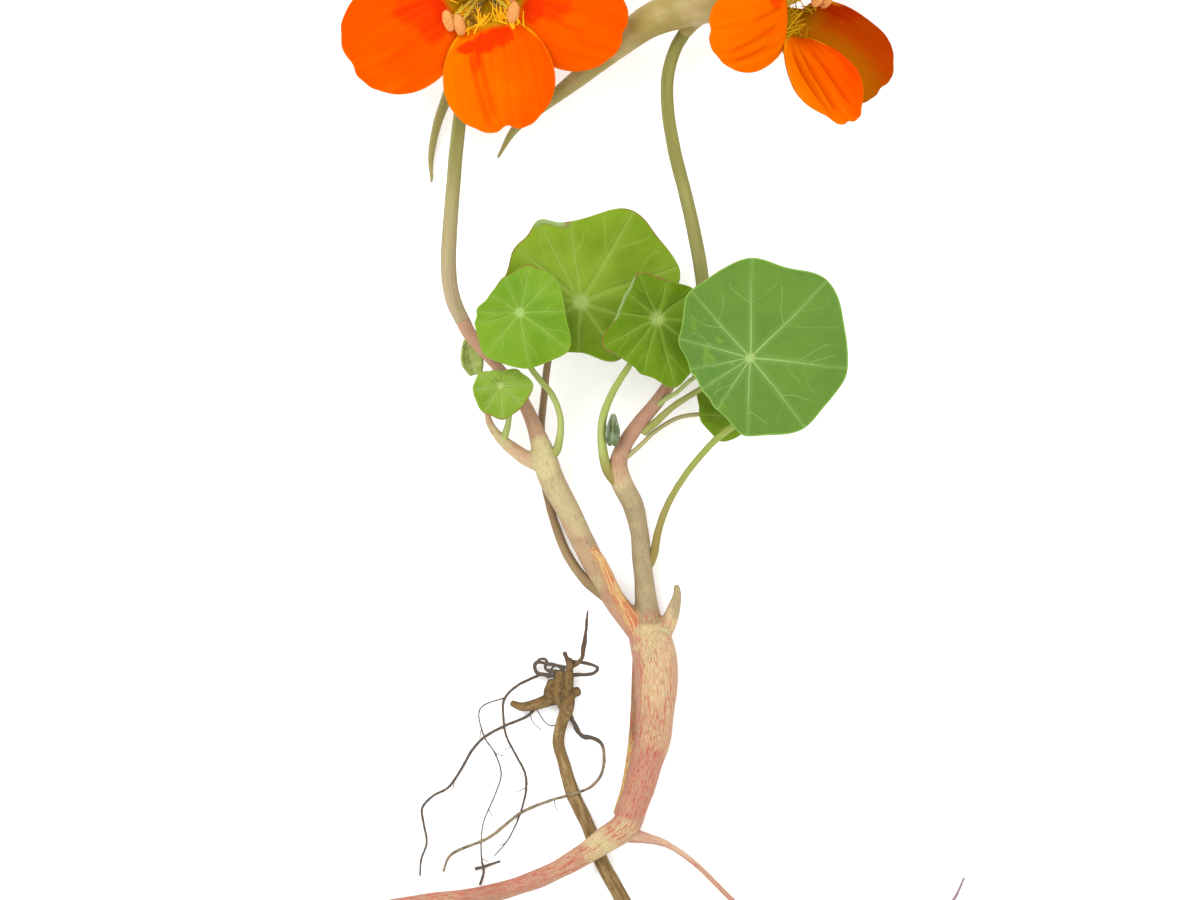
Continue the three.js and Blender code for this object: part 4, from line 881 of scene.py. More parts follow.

# A vein is its angle and its length. Each fork leaves a vein at one share of its length, ends at another
# and turns off by some degrees. A lip is a stretch of margin that curls up, between two angles and so many
# mm wide. Shade is x, y from the hub, size and strength of a place painted darker, as painted shade.
leaves = {
    "back_leaf": {
        "hub": [-3.4, 26.5, 14],
        "veins": [
            [20, 18.5], [60, 18.8], [97, 14.5], [118, 16.4], [140, 15.3], [172, 14.4], [215, 11.6],
            [268, 9.1], [303, 12.5], [340, 15],
        ],
        "forks": [
            [4, 0.55, 0.9, -16], [1, 0.5, 0.85, 14], [1, 0.6, 0.92, -16], [0, 0.55, 0.9, 14],
            [2, 0.6, 0.85, -10], [9, 0.5, 0.9, -12], [8, 0.5, 0.85, 10], [6, 0.5, 0.85, -14],
            [5, 0.5, 0.85, 12],
        ],
        "slope": [0.02, 0.03], "cup": 0.9, "wave": 0.8, "waves": 5, "phase": 60,
        "stalk": [
            [0.9, -26.6, 4.1, 0.6], [-0.2, -25.6, 4.2, 1], [-1.3, -24.6, 4.2, 1], [-2.8, -23.2, 4.1, 0.9],
            [-5.9, -18.7, 3, 0.85], [-8, -13.5, 2.9, 0.8], [-9.5, -8, 3.2, 0.75], [-10.5, -2, 3.2, 0.7],
            [-10.6, 4, 4, 0.7], [-10, 10, 6, 0.65], [-9.4, 15.5, 8.6, 0.65], [-8.3, 20, 10.6, 0.65],
            [-6, 24, 12, 0.65], [-3.6, 26.3, 12.9, 0.65],
        ],
        "brownStalk": True, "lips": [[99, 121, 0.95]], "red": [[30, 66], [98, 118], [122, 178]],
        "shade": [[0, -6, 7, 0.6], [8, -6, 8, 0.8], [-8, -4, 7, 0.3], [5, 4, 6, -0.35], [-12, 3, 4, 0.5]],
        "light": (142, 172, 42), "dark": (124, 156, 32), "deep": (104, 136, 16), "vein": (168, 194, 84),
        "edge": (152, 176, 60), "veinWidth": 0.5, "veinShow": 0.42, "hubSize": 2.1,
    },
    "left_leaf": {
        "hub": [-14.3, 24.5, 20],
        "veins": [
            [2, 8.1], [45, 8.9], [78, 8.7], [112, 7], [150, 6.2], [178, 7.7], [195, 8.3], [231, 9.8],
            [280, 10.1], [322, 11],
        ],
        "forks": [
            [1, 0.45, 0.85, -16], [1, 0.6, 0.9, 16], [9, 0.42, 0.85, 13], [9, 0.55, 0.9, -12],
            [8, 0.5, 0.9, 12], [7, 0.5, 0.85, 14], [2, 0.5, 0.85, 14], [0, 0.55, 0.9, 14],
            [6, 0.5, 0.8, 10],
        ],
        "slope": [0.03, 0], "cup": 0.6, "wave": 0.5, "waves": 5, "phase": 0, "brownFoot": 0.35,
        "brownTo": 0.2,
        "stalk": [
            [-9.2, -1.4, 7.6, 1], [-7.9, -0.2, 8, 0.8], [-7.1, 3, 9.2, 0.6], [-7.2, 6.3, 10.2, 0.55],
            [-8.6, 9.9, 11.4, 0.55], [-10.8, 12.6, 12.8, 0.55], [-12.6, 15.2, 14.6, 0.55],
            [-13.5, 19.4, 16.8, 0.55], [-14.2, 24, 19.2, 0.6],
        ],
        "red": [[62, 132]], "shade": [[-2, 5, 4, 0.5], [3, 1, 3, 0.5], [6, -3, 4, 0.4], [-3, -6, 4, 0.2]],
        "light": (130, 171, 44), "dark": (112, 152, 28), "deep": (98, 148, 34), "vein": (160, 196, 84),
        "edge": (150, 186, 60), "veinWidth": 0.3, "veinShow": 0.5, "hubSize": 1.3,
    },
    "small_leaf": {
        "hub": [-17.8, 11.5, 15.5],
        "veins": [
            [0, 5.9], [39, 4.3], [82, 2.7], [124, 3.1], [150, 4.5], [190, 5], [238, 5.7], [274, 6.1],
            [317, 5.5],
        ],
        "forks": [[0, 0.5, 0.9, 14], [8, 0.5, 0.9, 13], [6, 0.5, 0.85, -13], [5, 0.5, 0.85, 12]],
        "slope": [0, 0.04], "cup": 0.5, "wave": 0.3, "waves": 4, "phase": 30,
        "stalk": [
            [-17.6, 1.4, 8.6, 0.8], [-16.9, 3, 9, 0.6], [-16.3, 6, 10.4, 0.5], [-16.7, 9, 12.4, 0.5],
            [-17.6, 11.3, 14.8, 0.5],
        ],
        "red": [[236, 350]], "shade": [[-3, -3, 2.5, 0.3], [3, -2, 2.5, 0.2]], "light": (148, 180, 62),
        "dark": (128, 164, 46), "deep": (112, 150, 36), "vein": (180, 206, 108), "edge": (164, 188, 72),
        "veinWidth": 0.26, "veinShow": 0.55, "hubSize": 0.9,
    },
    "middle_leaf": {
        "hub": [10.2, 23.5, 20],
        "veins": [
            [38, 8.2], [75, 7], [113, 8.7], [140, 7.2], [172, 7.1], [208, 11], [232, 9.5], [256, 10.4],
            [284, 12.7], [320, 10.9], [355, 9.6],
        ],
        "forks": [
            [5, 0.5, 0.85, 12], [8, 0.5, 0.9, 12], [8, 0.6, 0.9, -10], [9, 0.5, 0.85, 12],
            [7, 0.55, 0.9, -10], [2, 0.55, 0.85, 12],
        ],
        "slope": [-0.02, 0.02], "cup": 0.9, "wave": 0.5, "waves": 5, "phase": 100, "brownFoot": 0.8,
        "brownTo": 0.22,
        "stalk": [
            [3, -5.6, 6.6, 1.2], [1.3, -3.4, 7.3, 0.95], [0.4, 1, 9, 0.8], [0.5, 5.5, 11, 0.75],
            [1.8, 9.4, 13.2, 0.65], [3.6, 12.6, 15.4, 0.6], [6, 16.2, 17.2, 0.55], [8.3, 19.8, 18.2, 0.55],
            [10, 23.2, 19.1, 0.6],
        ],
        "lips": [[117, 184, 0.4]], "red": [[72, 122], [184, 232]],
        "shade": [
            [-2, 3.2, 2.6, 0.8], [2.4, -2.6, 2.2, 0.9], [3.8, -5.5, 2.6, 0.7], [-4, 0, 3, 0.4],
            [3, 3, 3, 0.3],
        ],
        "light": (112, 146, 22), "dark": (98, 134, 12), "deep": (80, 114, 6), "vein": (146, 176, 64),
        "edge": (136, 162, 50), "veinWidth": 0.44, "veinShow": 0.46, "hubSize": 1.9,
    },
    "right_leaf": {
        "hub": [26.7, 16.4, 26],
        "veins": [
            [-6, 17.4], [45, 19.4], [89, 17.8], [132, 15.9], [165, 13.2], [191, 11], [213, 10.4], [237, 11],
            [268, 14], [308, 15.8],
        ],
        "forks": [
            [1, 0.43, 0.72, 21], [1, 0.44, 0.86, -25], [0, 0.48, 0.86, 15], [0, 0.55, 0.74, -24],
            [9, 0.62, 0.84, -17], [9, 0.55, 0.8, 16], [8, 0.7, 0.9, -16], [8, 0.68, 0.88, 16],
            [2, 0.55, 0.8, -18], [2, 0.55, 0.78, 17], [3, 0.54, 0.78, -19], [3, 0.45, 0.8, 14],
            [0, 0.36, 0.6, -22], [1, 0.62, 0.9, -12], [0, 0.6, 0.92, 7], [7, 0.5, 0.85, -12],
            [4, 0.55, 0.85, -9],
        ],
        "slope": [-0.03, 0.02], "cup": 0.8, "wave": 0.9, "waves": 5, "phase": 45, "dips": {1: 0.035},
        "slim": 0.82, "brownFoot": 0.45, "brownTo": 0.9,
        "stalk": [
            [7.8, 3.2, 7.7, 1], [10, 5, 8.2, 0.85], [13, 7.7, 9.4, 0.7], [17.5, 10.6, 12.6, 0.65],
            [21.6, 13.1, 17.6, 0.65], [24.8, 15.5, 22.4, 0.65], [26.6, 16.4, 25, 0.65],
        ],
        "shade": [[-8, 1, 7, 0.7], [-5, -5, 6, 0.5], [0, -2, 3, 0.4], [8, 8, 7, -0.2]],
        "light": (109, 148, 56), "dark": (101, 140, 54), "deep": (100, 140, 60), "vein": (158, 194, 108),
        "edge": (160, 202, 92), "veinWidth": 0.2, "veinShow": 0.95, "hubSize": 1.3, "pale": 0.5,
    },
    "under_leaf": {
        "hub": [25.9, 6.1, 10.6],
        "veins": [
            [15, 7.6], [50, 7.4], [85, 7.2], [120, 8.4], [153, 9.4], [180, 8.1], [218, 6.6], [265, 3.3],
            [310, 4], [340, 6],
        ],
        "forks": [[5, 0.5, 0.85, 12], [6, 0.5, 0.85, -12]], "slope": [0.02, 0], "cup": -0.7, "wave": 0.3,
        "waves": 4, "phase": 0, "slim": 0.86, "brownFoot": 0.95, "brownTo": 0.85,
        "stalk": [
            [8.4, -21.4, 4.4, 1], [9.6, -18.9, 4.5, 0.9], [10.4, -14.8, 4.8, 0.8], [12.1, -9.9, 5.4, 0.75],
            [15.3, -4.5, 7.4, 0.7], [18.5, -0.5, 10, 0.7], [21.1, 2.2, 12.2, 0.7], [23.2, 3.8, 12.9, 0.7],
            [25.7, 5.9, 11.1, 0.65],
        ],
        "shade": [[-4, 2, 3, 0.7], [-6, 0, 2, 0.5]], "light": (128, 160, 34), "dark": (108, 138, 18),
        "deep": (78, 108, 6), "vein": (156, 184, 72), "edge": (150, 170, 56), "veinWidth": 0.3,
        "veinShow": 0.4, "hubSize": 1.3,
    },
}


def leafColumns(leaf):
    # the angle of each column, the margin's distance there and the height of the bulge there, 0 on a
    # vein and 1 halfway between two. The margin dips between two veins as the square of a sine.
    angles, margins, bulges = [], [], []
    veins = leaf["veins"]
    for number, (fromAngle, near) in enumerate(veins):
        toAngle, far = veins[(number + 1) % len(veins)]
        gap = (toAngle - fromAngle) % 360
        count = max(6, int(round(np.radians(gap) * max(near, far) / leafMake["columnGap"])))
        part = np.arange(count) / count
        bulge = np.sin(np.pi * part) ** 2
        angles.append(np.radians(fromAngle + gap * part))
        dip = leafMake["dip"] + leaf["dips"].get(number, 0)
        margins.append(between(near, far, smooth(part, 0, 1)) * (1 - dip * bulge))
        bulges.append(bulge)
    return [np.concatenate(values) for values in (angles, margins, bulges)]


def veinTurn(angle, gone, vein):
    # the direction of a main vein, which sways as a sine that fades outward
    return np.radians(angle) + leafMake["sway"] * np.sin(5 * gone + 2 * vein) * (1 - gone)


def veinLines(leaf):
    # Main veins run from the hub to the margin with a slight sway, and forks leave them slightly bowed.
    # Both are given as the two ends of each of their short straight pieces.
    steps = np.linspace(0, 1, 13)
    main, side = [], []
    for vein, (angle, reach) in enumerate(leaf["veins"]):
        turn = veinTurn(angle, steps, vein)
        main.append(np.stack([steps * reach * np.cos(turn), steps * reach * np.sin(turn)], 1))
    for number, (vein, start, end, away) in enumerate(leaf["forks"]):
        angle, reach = leaf["veins"][vein]
        turn, far = veinTurn(angle, start, vein), np.radians(angle + away)
        foot = start * reach * np.array([np.cos(turn), np.sin(turn)])
        run = end * reach * np.array([np.cos(far), np.sin(far)]) - foot
        bow = leafMake["bow"] * (np.sin(np.pi * steps) + 0.5 * np.sin(7 * steps + number) * steps)
        aside = np.array([-run[1], run[0]]) * (bow * np.sign(away))[:, None]
        side.append(foot + run * steps[:, None] + aside)
    return [[np.vstack([line[:-1] for line in lines]), np.vstack([line[1:] for line in lines])]
            for lines in (main, side)]


def distanceToPieces(points, starts, ends):
    # the smallest distance from each point to the straight pieces
    nearest = np.full(points.shape[:-1], 1e9)
    for start, end in zip(starts, ends):
        run = end - start
        part = np.clip(((points - start) @ run) / (run @ run + 1e-9), 0, 1)
        gap = points - (start + part[..., None] * run)
        nearest = np.minimum(nearest, np.hypot(gap[..., 0], gap[..., 1]))
    return nearest


def withinAngles(angle, ranges):
    # 1 where an angle lies in one of the ranges, in degrees, falling to 0 just beyond
    inside = np.zeros(len(angle))
    for start, end in ranges:
        fromMiddle = np.abs((np.degrees(angle) - (start + end) / 2 + 180) % 360 - 180)
        inside = np.maximum(inside, 1 - smooth(fromMiddle - (end - start) / 2, -4, 3))
    return inside


def leafShape(leaf, seed):
    # Rings round the hub. The height is a slope and a bowl with waves round the margin, with a dimple
    # at the hub, a bulge between each two veins and a small chance swell.
    angle, margin, bulge = leafColumns(leaf)
    rings = max(12, int(round(margin.max() / leafMake["ringGap"])))
    out = (np.arange(rings + 1) / rings)[:, None]
    onCircle = np.stack([np.cos(angle), np.sin(angle)], 1) * leafMake["raggedRadius"]
    ragged = leafMake["ragged"] * rolling(onCircle, leafMake["raggedSize"], seed)
    distance = out * (margin * (1 + ragged))[None, :]
    x, y = distance * np.cos(angle), distance * np.sin(angle)
    flat = np.stack([x, y], -1)
    fromEdge = (1 - out) * margin[None, :]
    lift = leaf["cup"] + leaf["wave"] * np.sin(leaf["waves"] * angle + np.radians(leaf["phase"]))
    height = leaf["slope"][0] * x + leaf["slope"][1] * y + out**2 * lift
    height = height + leafMake["pucker"] * bulge * np.sin(np.pi * np.minimum(out, 0.95)) * out**0.5
    height = height - leafMake["dimpleDepth"] * np.exp(-((distance / leafMake["dimpleSize"]) ** 2))
    swell = leafMake["swell"] * rolling(flat, leafMake["swellSize"], seed + 1)
    height = height + swell * smooth(distance, 1, 4)
    lip = 0 * distance
    for start, end, depth in leaf["lips"]:
        curl = withinAngles(angle, [[start, end]])[None, :] * (1 - smooth(fromEdge, 0.7 * depth, depth))
        height = height + leafMake["curl"] * depth * curl * (1 - fromEdge / depth)
        lip = np.maximum(lip, curl)
    grid = np.stack([leaf["hub"][0] + x, leaf["hub"][1] + y, leaf["hub"][2] + height], -1)
    thinner = smooth(out, 0.7, 1)
    thickness = between(leafMake["thickness"], leafMake["edgeThickness"], thinner) + 0 * distance
    main, side = veinLines(leaf)
    shade = 0 * distance
    for shadeX, shadeY, size, amount in leaf["shade"]:
        shade = shade + amount * np.exp(-(((x - shadeX) ** 2 + (y - shadeY) ** 2) / size**2))
    return shell(grid, thickness, True, {
        "mainVein": distanceToPieces(flat, *main),
        "sideVein": distanceToPieces(flat, *side),
        "fromHub": distance,
        "fromEdge": fromEdge,
        "out": out + 0 * distance,
        "shade": shade,
        "lip": lip,
        "red": withinAngles(angle, leaf["red"])[None, :] + 0 * distance,
    })


def leafMaterial(name, leaf):
    # Veins are lines round the vein distances, the main ones narrower outward, with a faint glow beside
    # them and a fine net between them. The rim is paler, and red or curled where the leaf says so.
    paint = Paint(name + "_skin", Roughness=0.55, Specular_IOR_Level=0.05)
    place = paint.place()
    names = ("mainVein", "sideVein", "out", "fromHub", "fromEdge", "under", "shade", "lip")
    main, side, out, fromHub, fromEdge, under, shade, lip = (paint.attribute(field) for field in names)
    patterns = ("broadClouds", "clouds", "grit", "blotches")
    broad, cloud, grit, blotch = (paint.noise(place, *leafSkin[pattern]) for pattern in patterns)
    width = leaf["veinWidth"] * (1.7 - 1.1 * out)
    mainLine = 1 - (main / width).rise(0.3, 1.0)
    glow = 1 - (main / width).rise(0.4, 4.5)
    sideLine = 1 - side.rise(0.2 * leaf["veinWidth"], 0.85 * leaf["veinWidth"])
    netLine = 1 - paint.cells(place, leafSkin["netScale"]).rise(0.0, 0.08)
    hub = 1 - fromHub.rise(0.35 * leaf["hubSize"], leaf["hubSize"])
    redLine = (1 - fromEdge.rise(0.05, 0.3)) * (1 - lip) + lip * (1 - lip) * 3
    light, dark, vein, show = (leaf[key] for key in ("light", "dark", "vein", "veinShow"))
    paint.skin = paint.mix(broad.rise(0.35, 0.65), light, dark)
    # painted shade: the shade places are painted in the leaf's deeper green
    paint.lay(shade.rise(0.0, 0.9), leaf["deep"])
    paint.lay(cloud.rise(0.35, 0.75) * 0.3, light)
    paint.lay(grit.rise(0.4, 0.8) * 0.1, dark)
    paint.lay(blotch.rise(0.6, 0.66) * shade.rise(0.2, 0.5) * leaf["pale"], leafSkin["paleBlotch"])
    paint.lay(netLine * 0.08 * show, vein)
    paint.lay(glow * 0.2, vein)
    paint.lay(sideLine * 0.5 * show, vein)
    paint.lay(mainLine * (1 - 0.3 * out) * show, vein)
    paint.lay(hub * 0.85, paint.mix(grit.rise(0.3, 0.7), vein, leafSkin["hub"]))
    paint.lay((1 - fromEdge.rise(0.08, 0.34)) * 0.6, leaf["edge"])
    paint.lay(lip * 0.75, leafSkin["lip"])
    paint.lay(redLine * paint.attribute("red") * cloud.rise(0.3, 0.5) * 0.85, leafSkin["redRim"])
    paint.lay(under * 0.6, leafSkin["under"])
    raised = (1 - 2 * under) * (mainLine * -1.0 + sideLine * -0.35 + netLine * -0.15) + grit * 0.18
    relief = paint.bump(raised, distance=0.22, strength=0.6)
    return paint.finish(Normal=relief, Roughness=0.5 + 0.14 * cloud)


def leafStalk(leaf, seed):
    # the foot's own colour fades out along the stalk
    route = [[*stop[:3], stop[3] * leaf["slim"]] for stop in leaf["stalk"]]
    shape = tube(route, leafMake["sides"], spacing=0.5, lumps=0.03, seed=seed)
    gone = shape["fields"]["grain"][:, 0]
    shape["fields"]["foot"] = leaf["brownFoot"] * (1 - smooth(gone / gone.max(), 0.05, leaf["brownTo"]))
    shape["fields"]["steep"] = steepness(shape)
    return shape


for number, (name, ownValues) in enumerate(leaves.items()):
    leaf = {**plainLeaf, **ownValues}
    slot = "left_leaf" if name == "small_leaf" else name
    makePiece(name + "_blade", leafShape(leaf, 100 + 10 * number), leafMaterial(name, leaf), slot, name)
    stalkSlot = "brown_leaf_stalk" if leaf["brownStalk"] else "leaf_stalk"
    stalk = leafStalk(leaf, 200 + number)
    makePiece(name + "_foot_stalk", stalk, stalkSkins[stalkSlot + "_skin"], stalkSlot, name + "_stalk")
print("leaves opened")

# young folded leaves

youngMake = {
    "thickness": 0.45, "footWidth": 0.25, "drawnBack": 0.18, "narrowed": 0.3, "rib": (204, 212, 140),
    "ripple": 0.12, "clouds": (0.8, 3, 0.6), "lines": (1.5, 3, 0.6),
}
youngLeaves = {
    "left_bud": {
        "foot": [-22.3, 13.5, 6], "heading": 104, "rise": 4, "length": 6.8, "halfWidth": 2.2, "fold": 0.5,
        "light": (188, 204, 116), "dark": (158, 178, 84), "slot": "young_leaf",
    },
    "folded_leaf": {
        "foot": [2.2, 0.9, 9.6], "heading": 88, "rise": 22, "length": 6, "halfWidth": 1.5, "fold": 0.8,
        "light": (150, 166, 134), "dark": (96, 112, 66), "slot": "folded_leaf",
    },
    "pale_young_leaf": {
        "foot": [17.6, 13.5, 14.6], "heading": 72, "rise": 14, "length": 7, "halfWidth": 2.6, "fold": 0.5,
        "stalk": [
            [10, 7.8, 8.6, 0.5], [12, 9.3, 10, 0.42], [13.6, 10.2, 11.4, 0.42], [15.6, 12, 13.2, 0.4],
            [17.9, 13.8, 14.8, 0.4],
        ],
        "light": (184, 202, 104), "dark": (156, 178, 74), "slot": "young_leaf",
    },
    "pink_young_leaf": {
        "foot": [19.8, 6.6, 7.1], "heading": -8, "rise": -8, "length": 7, "halfWidth": 2.4, "fold": 0.5,
        "stalk": [
            [4.9, -1.2, 7.2, 0.5], [6.9, 0.5, 7.4, 0.42], [10, 3.4, 7.2, 0.42], [14.4, 5.9, 7, 0.4],
            [20.3, 6.6, 7.1, 0.4],
        ],
        "light": (170, 160, 104), "dark": (178, 134, 104), "slot": "pink_young_leaf",
    },
}


def youngShape(young):
    # a spoon folded along its middle: wide in the middle of its length, its two halves standing up
    heading, rise = np.radians(young["heading"]), np.radians(young["rise"])
    ahead = np.array([np.cos(heading) * np.cos(rise), np.sin(heading) * np.cos(rise), np.sin(rise)])
    side = unit(np.cross([0, 0, 1], ahead))
    up = np.cross(ahead, side)
    out, across = np.linspace(0, 1, 26)[:, None, None], np.linspace(-1, 1, 21)[None, :, None]
    opened = np.sin(np.pi * between(0.1, 0.9, out))
    wide = young["halfWidth"] * between(youngMake["footWidth"], 1, opened)
    back = youngMake["drawnBack"] * young["length"] * across**2 * out
    grid = np.array(young["foot"]) + ahead * (young["length"] * out - back)
    grid = grid + side * (wide * across * (1 - youngMake["narrowed"] * young["fold"]))
    ripple = youngMake["ripple"] * np.sin(5 * out + 4 * across) * across**2
    grid = grid + up * (young["fold"] * wide * across**2 + ripple)
    thickness = youngMake["thickness"] + 0 * grid[..., 0]
    shape = shell(grid, thickness, False, {"rib": (wide * np.abs(across))[..., 0]})
    if "stalk" in young:
        shape = combined([shape, tube(young["stalk"], sides=10, spacing=0.4, seed=8)])
    return shape


def youngMaterial(name, young):
    # a cloudy blade with a paler middle rib
    paint = Paint(name + "_skin", Roughness=0.55, Specular_IOR_Level=0.2)
    cloud, line = (paint.noise(paint.place(), *youngMake[key]) for key in ("clouds", "lines"))
    paint.skin = paint.mix(cloud.rise(0.35, 0.65), young["light"], young["dark"])
    paint.lay((1 - paint.attribute("rib").rise(0.1, 0.4)) * 0.5, youngMake["rib"])
    return paint.finish(Normal=paint.bump(line, distance=0.25, strength=0.6))


for name, young in youngLeaves.items():
    makePiece(name + "_blade", youngShape(young), youngMaterial(name, young), young["slot"], name)
print("young leaves folded")

# flowers

calyx = {
    "depth": 5, "baseRadius": 2.4, "rimRadius": 5.7, "wall": 0.7, "baseHeight": 0.3, "floor": 1,
    "floorRim": 1.2, "voxel": 0.25, "sides": 48, "light": (208, 188, 132), "dark": (178, 160, 84),
    # the throat colours are the throat's own yellow painted lighter, as painted light for the shade it
    # stands in
    "tip": (172, 166, 96), "line": (162, 130, 76), "throatLight": (255, 224, 60),
    "throatDark": (204, 152, 36), "lowered": 0.7, "hollowRadii": [0.5, 2.0, 5.0],
    "throatHeights": [0.5, 1.2, 5], "throatRadii": [0.5, 2.0, 5.1], "throatFrom": 0.6, "rimFrom": 3.6,
    "rimFades": (8, 12), "tipRises": (9, 24), "lineFibres": (0.08, 1.3, 2, 0.5),
    "fineFibres": (0.1, 4.0, 2, 0.5), "clouds": (0.16, 2, 0.5),
}
sepalMake = {
    "length": 12, "halfWidth": 2.6, "footLean": 55, "inside": 0.4, "below": 0.6, "drawnBack": 0.12,
    "taper": 1.25, "thickness": 0.62,
}
claw = {
    "foot": 2.3, "start": 2.8, "length": 8, "footHalfWidth": 0.65, "opensBefore": 2.5, "opensAfter": 3,
    # light and dark are the claws for a throat that stands in shade, painted lighter as painted light; the
    # open ones are for a claw in the open
    "light": (232, 176, 26), "dark": (188, 136, 14), "openLight": (200, 128, 8), "openDark": (180, 108, 4),
}
blade = {
    "widest": 0.5, "shoulder": 0.05, "roundness": 0.6, "notchSharpness": 40, "waves": 2.5,
    "thickness": 0.36, "rows": 90, "columns": 85, "yellower": (255, 120, 0), "redder": (254, 84, 0),
    "patch": (250, 54, 4), "dim": (184, 62, 2), "band": (192, 110, 4), "dimPatch": (190, 42, 2),
    "fold": (222, 78, 0), "shoulderSkin": (255, 160, 16), "crease": (232, 70, 2), "rim": (255, 140, 30),
    "steps": 401, "raggedWaves": [(0.1, 9), (0.06, 21)], "ribs": 26, "ribbing": 0.05, "creaseWidth": 0.055,
    "streaks": (1.0, 3, 0.55), "threads": (1.0, 2, 0.5), "clouds": (0.14, 2, 0.5), "grains": (7.0, 2, 0.5),
}
# a pair is the least and the most, drawn by chance for each hair
hairMake = {
    "count": 32, "across": (0.5, 1.0), "start": (-2.8, 1.1), "length": 3.8, "lengthShare": (0.55, 1.0),
    "radius": 0.22, "out": (-0.4, 0.6), "up": (0.2, 0.9), "back": (0.3, 1.1), "bendUp": (0.1, 0.5),
    # light and dark, above 255, are the hairs painted lighter for a throat that stands in shade: painted
    # light; the open ones are their own colour
    "bendAside": (-0.6, 0.6), "upward": (0.31, 0.22, 0.92), "light": (310, 244, 50), "dark": (296, 206, 28),
    "openLight": (228, 180, 34), "openDark": (204, 150, 14),
}
stamen = {
    "length": 12, "lengthStep": 0.5, "footHeight": 2.3, "footRadius": 0.35, "footThickness": 0.42,
    "topThickness": 0.24, "antherRadius": 1.05, "antherLength": 2.2, "sides": 20,
    "filament": (250, 218, 78), "filamentDark": (222, 184, 52), "powder": (255, 182, 106),
    "powderDark": (250, 156, 74), "groove": 0.22, "lumps": 0.03, "lumpSize": 1.2,
    "antherSide": (0.9, 0.2, 0.3), "upward": (0.3, 0.9, 0.2),
    "boss": [[0, 0, 1.4, 0.6], [0, 0, 2.0, 1.0], [0, 0, 2.9, 0.7]], "pollen": (3.0, 4, 0.65),
}

# A petal's places are given as across it, -1 to 1, and along its blade, 0 to 1. A spot is its middle,
# its two half sizes and its strength. A crease is where it starts and ends across, its depth, and from
# where to where it runs along the blade. Tone is 0 for yellower and 1 for redder, and how it changes
# across. Leans are the petal's leans away from the flower's axis at its foot, its bend and its tip.
plainPetal = {
    "cup": 0.04, "wave": 0.8, "notch": 0.5, "twist": 0, "fringed": True, "clawHalfWidth": 2.7, "patch": [],
    "dim": [], "band": [], "folds": [],
}
upperPetal = {
    "tone": [0.7, 0], "patch": [[0.0, 0.16, 0.6, 0.2, 0.9]],
    "creases": [[-0.2, -0.3, 0.2, 0.1, 0.8], [0.1, 0.1, 0.3, 0.1, 0.9], [0.35, 0.45, 0.2, 0.1, 0.7]],
    "fringed": False,
}
leftPetals = {
    "bottom_petal": {
        "angle": -81, "leans": [35, 78, 104], "blade": 19, "halfWidth": 10, "cup": 0.05, "wave": 0.7,
        "notch": 1.2, "tone": [0.5, 0.4],
        "patch": [
            [-0.55, 0.15, 0.28, 0.06, 1], [-0.2, 0.13, 0.32, 0.1, 1], [0.15, 0.08, 0.3, 0.12, 1],
            [0.38, 0.04, 0.16, 0.12, 1], [-0.4, 0.26, 0.12, 0.16, 0.7],
        ],
        "creases": [
            [-0.52, -0.27, 0.4, 0.18, 1], [-0.34, -0.16, 0.3, 0.2, 0.9], [0.0, 0.1, 0.1, 0.02, 0.3],
            [-0.3, -0.45, 0.1, 0.04, 0.3],
        ],
    },
    "left_petal": {
        "angle": -151.5, "leans": [38, 80, 104], "blade": 20.6, "halfWidth": 10.4, "cup": -0.06,
        "wave": 0.9, "notch": 0.8, "tone": [0.85, -0.1],
        "patch": [
            [-0.3, 0.26, 0.4, 0.2, 0.72], [0.12, 0.18, 0.36, 0.16, 0.8], [-0.1, 0.06, 0.6, 0.1, 0.95],
        ],
        "creases": [
            [0.1, 0.42, 0.12, 0.04, 0.8], [-0.15, -0.4, 0.1, 0.04, 0.4], [-0.5, -0.7, 0.1, 0.05, 0.35],
            [0.4, 0.6, 0.1, 0.04, 0.4],
        ],
    },
    "right_petal": {
        "angle": -18, "leans": [38, 80, 104], "blade": 19.2, "halfWidth": 9.4, "cup": -0.06, "wave": 0.9,
        "tone": [0.8, 0.1], "patch": [[0.0, 0.1, 0.5, 0.12, 0.95], [0.2, 0.26, 0.36, 0.2, 0.75]],
        "creases": [[0.1, 0.2, 0.12, 0.04, 0.5], [-0.1, -0.3, 0.1, 0.04, 0.7], [0.4, 0.55, 0.1, 0.04, 0.4]],
    },
    "upper_left_petal": {
        "angle": 122, "leans": [24, 66, 90], "blade": 19.5, "halfWidth": 10.6, "notch": 0.6,
    },
    "upper_right_petal": {
        "angle": 52, "leans": [34, 76, 100], "blade": 19.5, "halfWidth": 10, "notch": 0.6,
        "creases": [[-0.3, -0.4, 0.2, 0.1, 0.8], [0.0, 0.05, 0.3, 0.1, 0.9], [0.3, 0.4, 0.2, 0.1, 0.7]],
    },
}
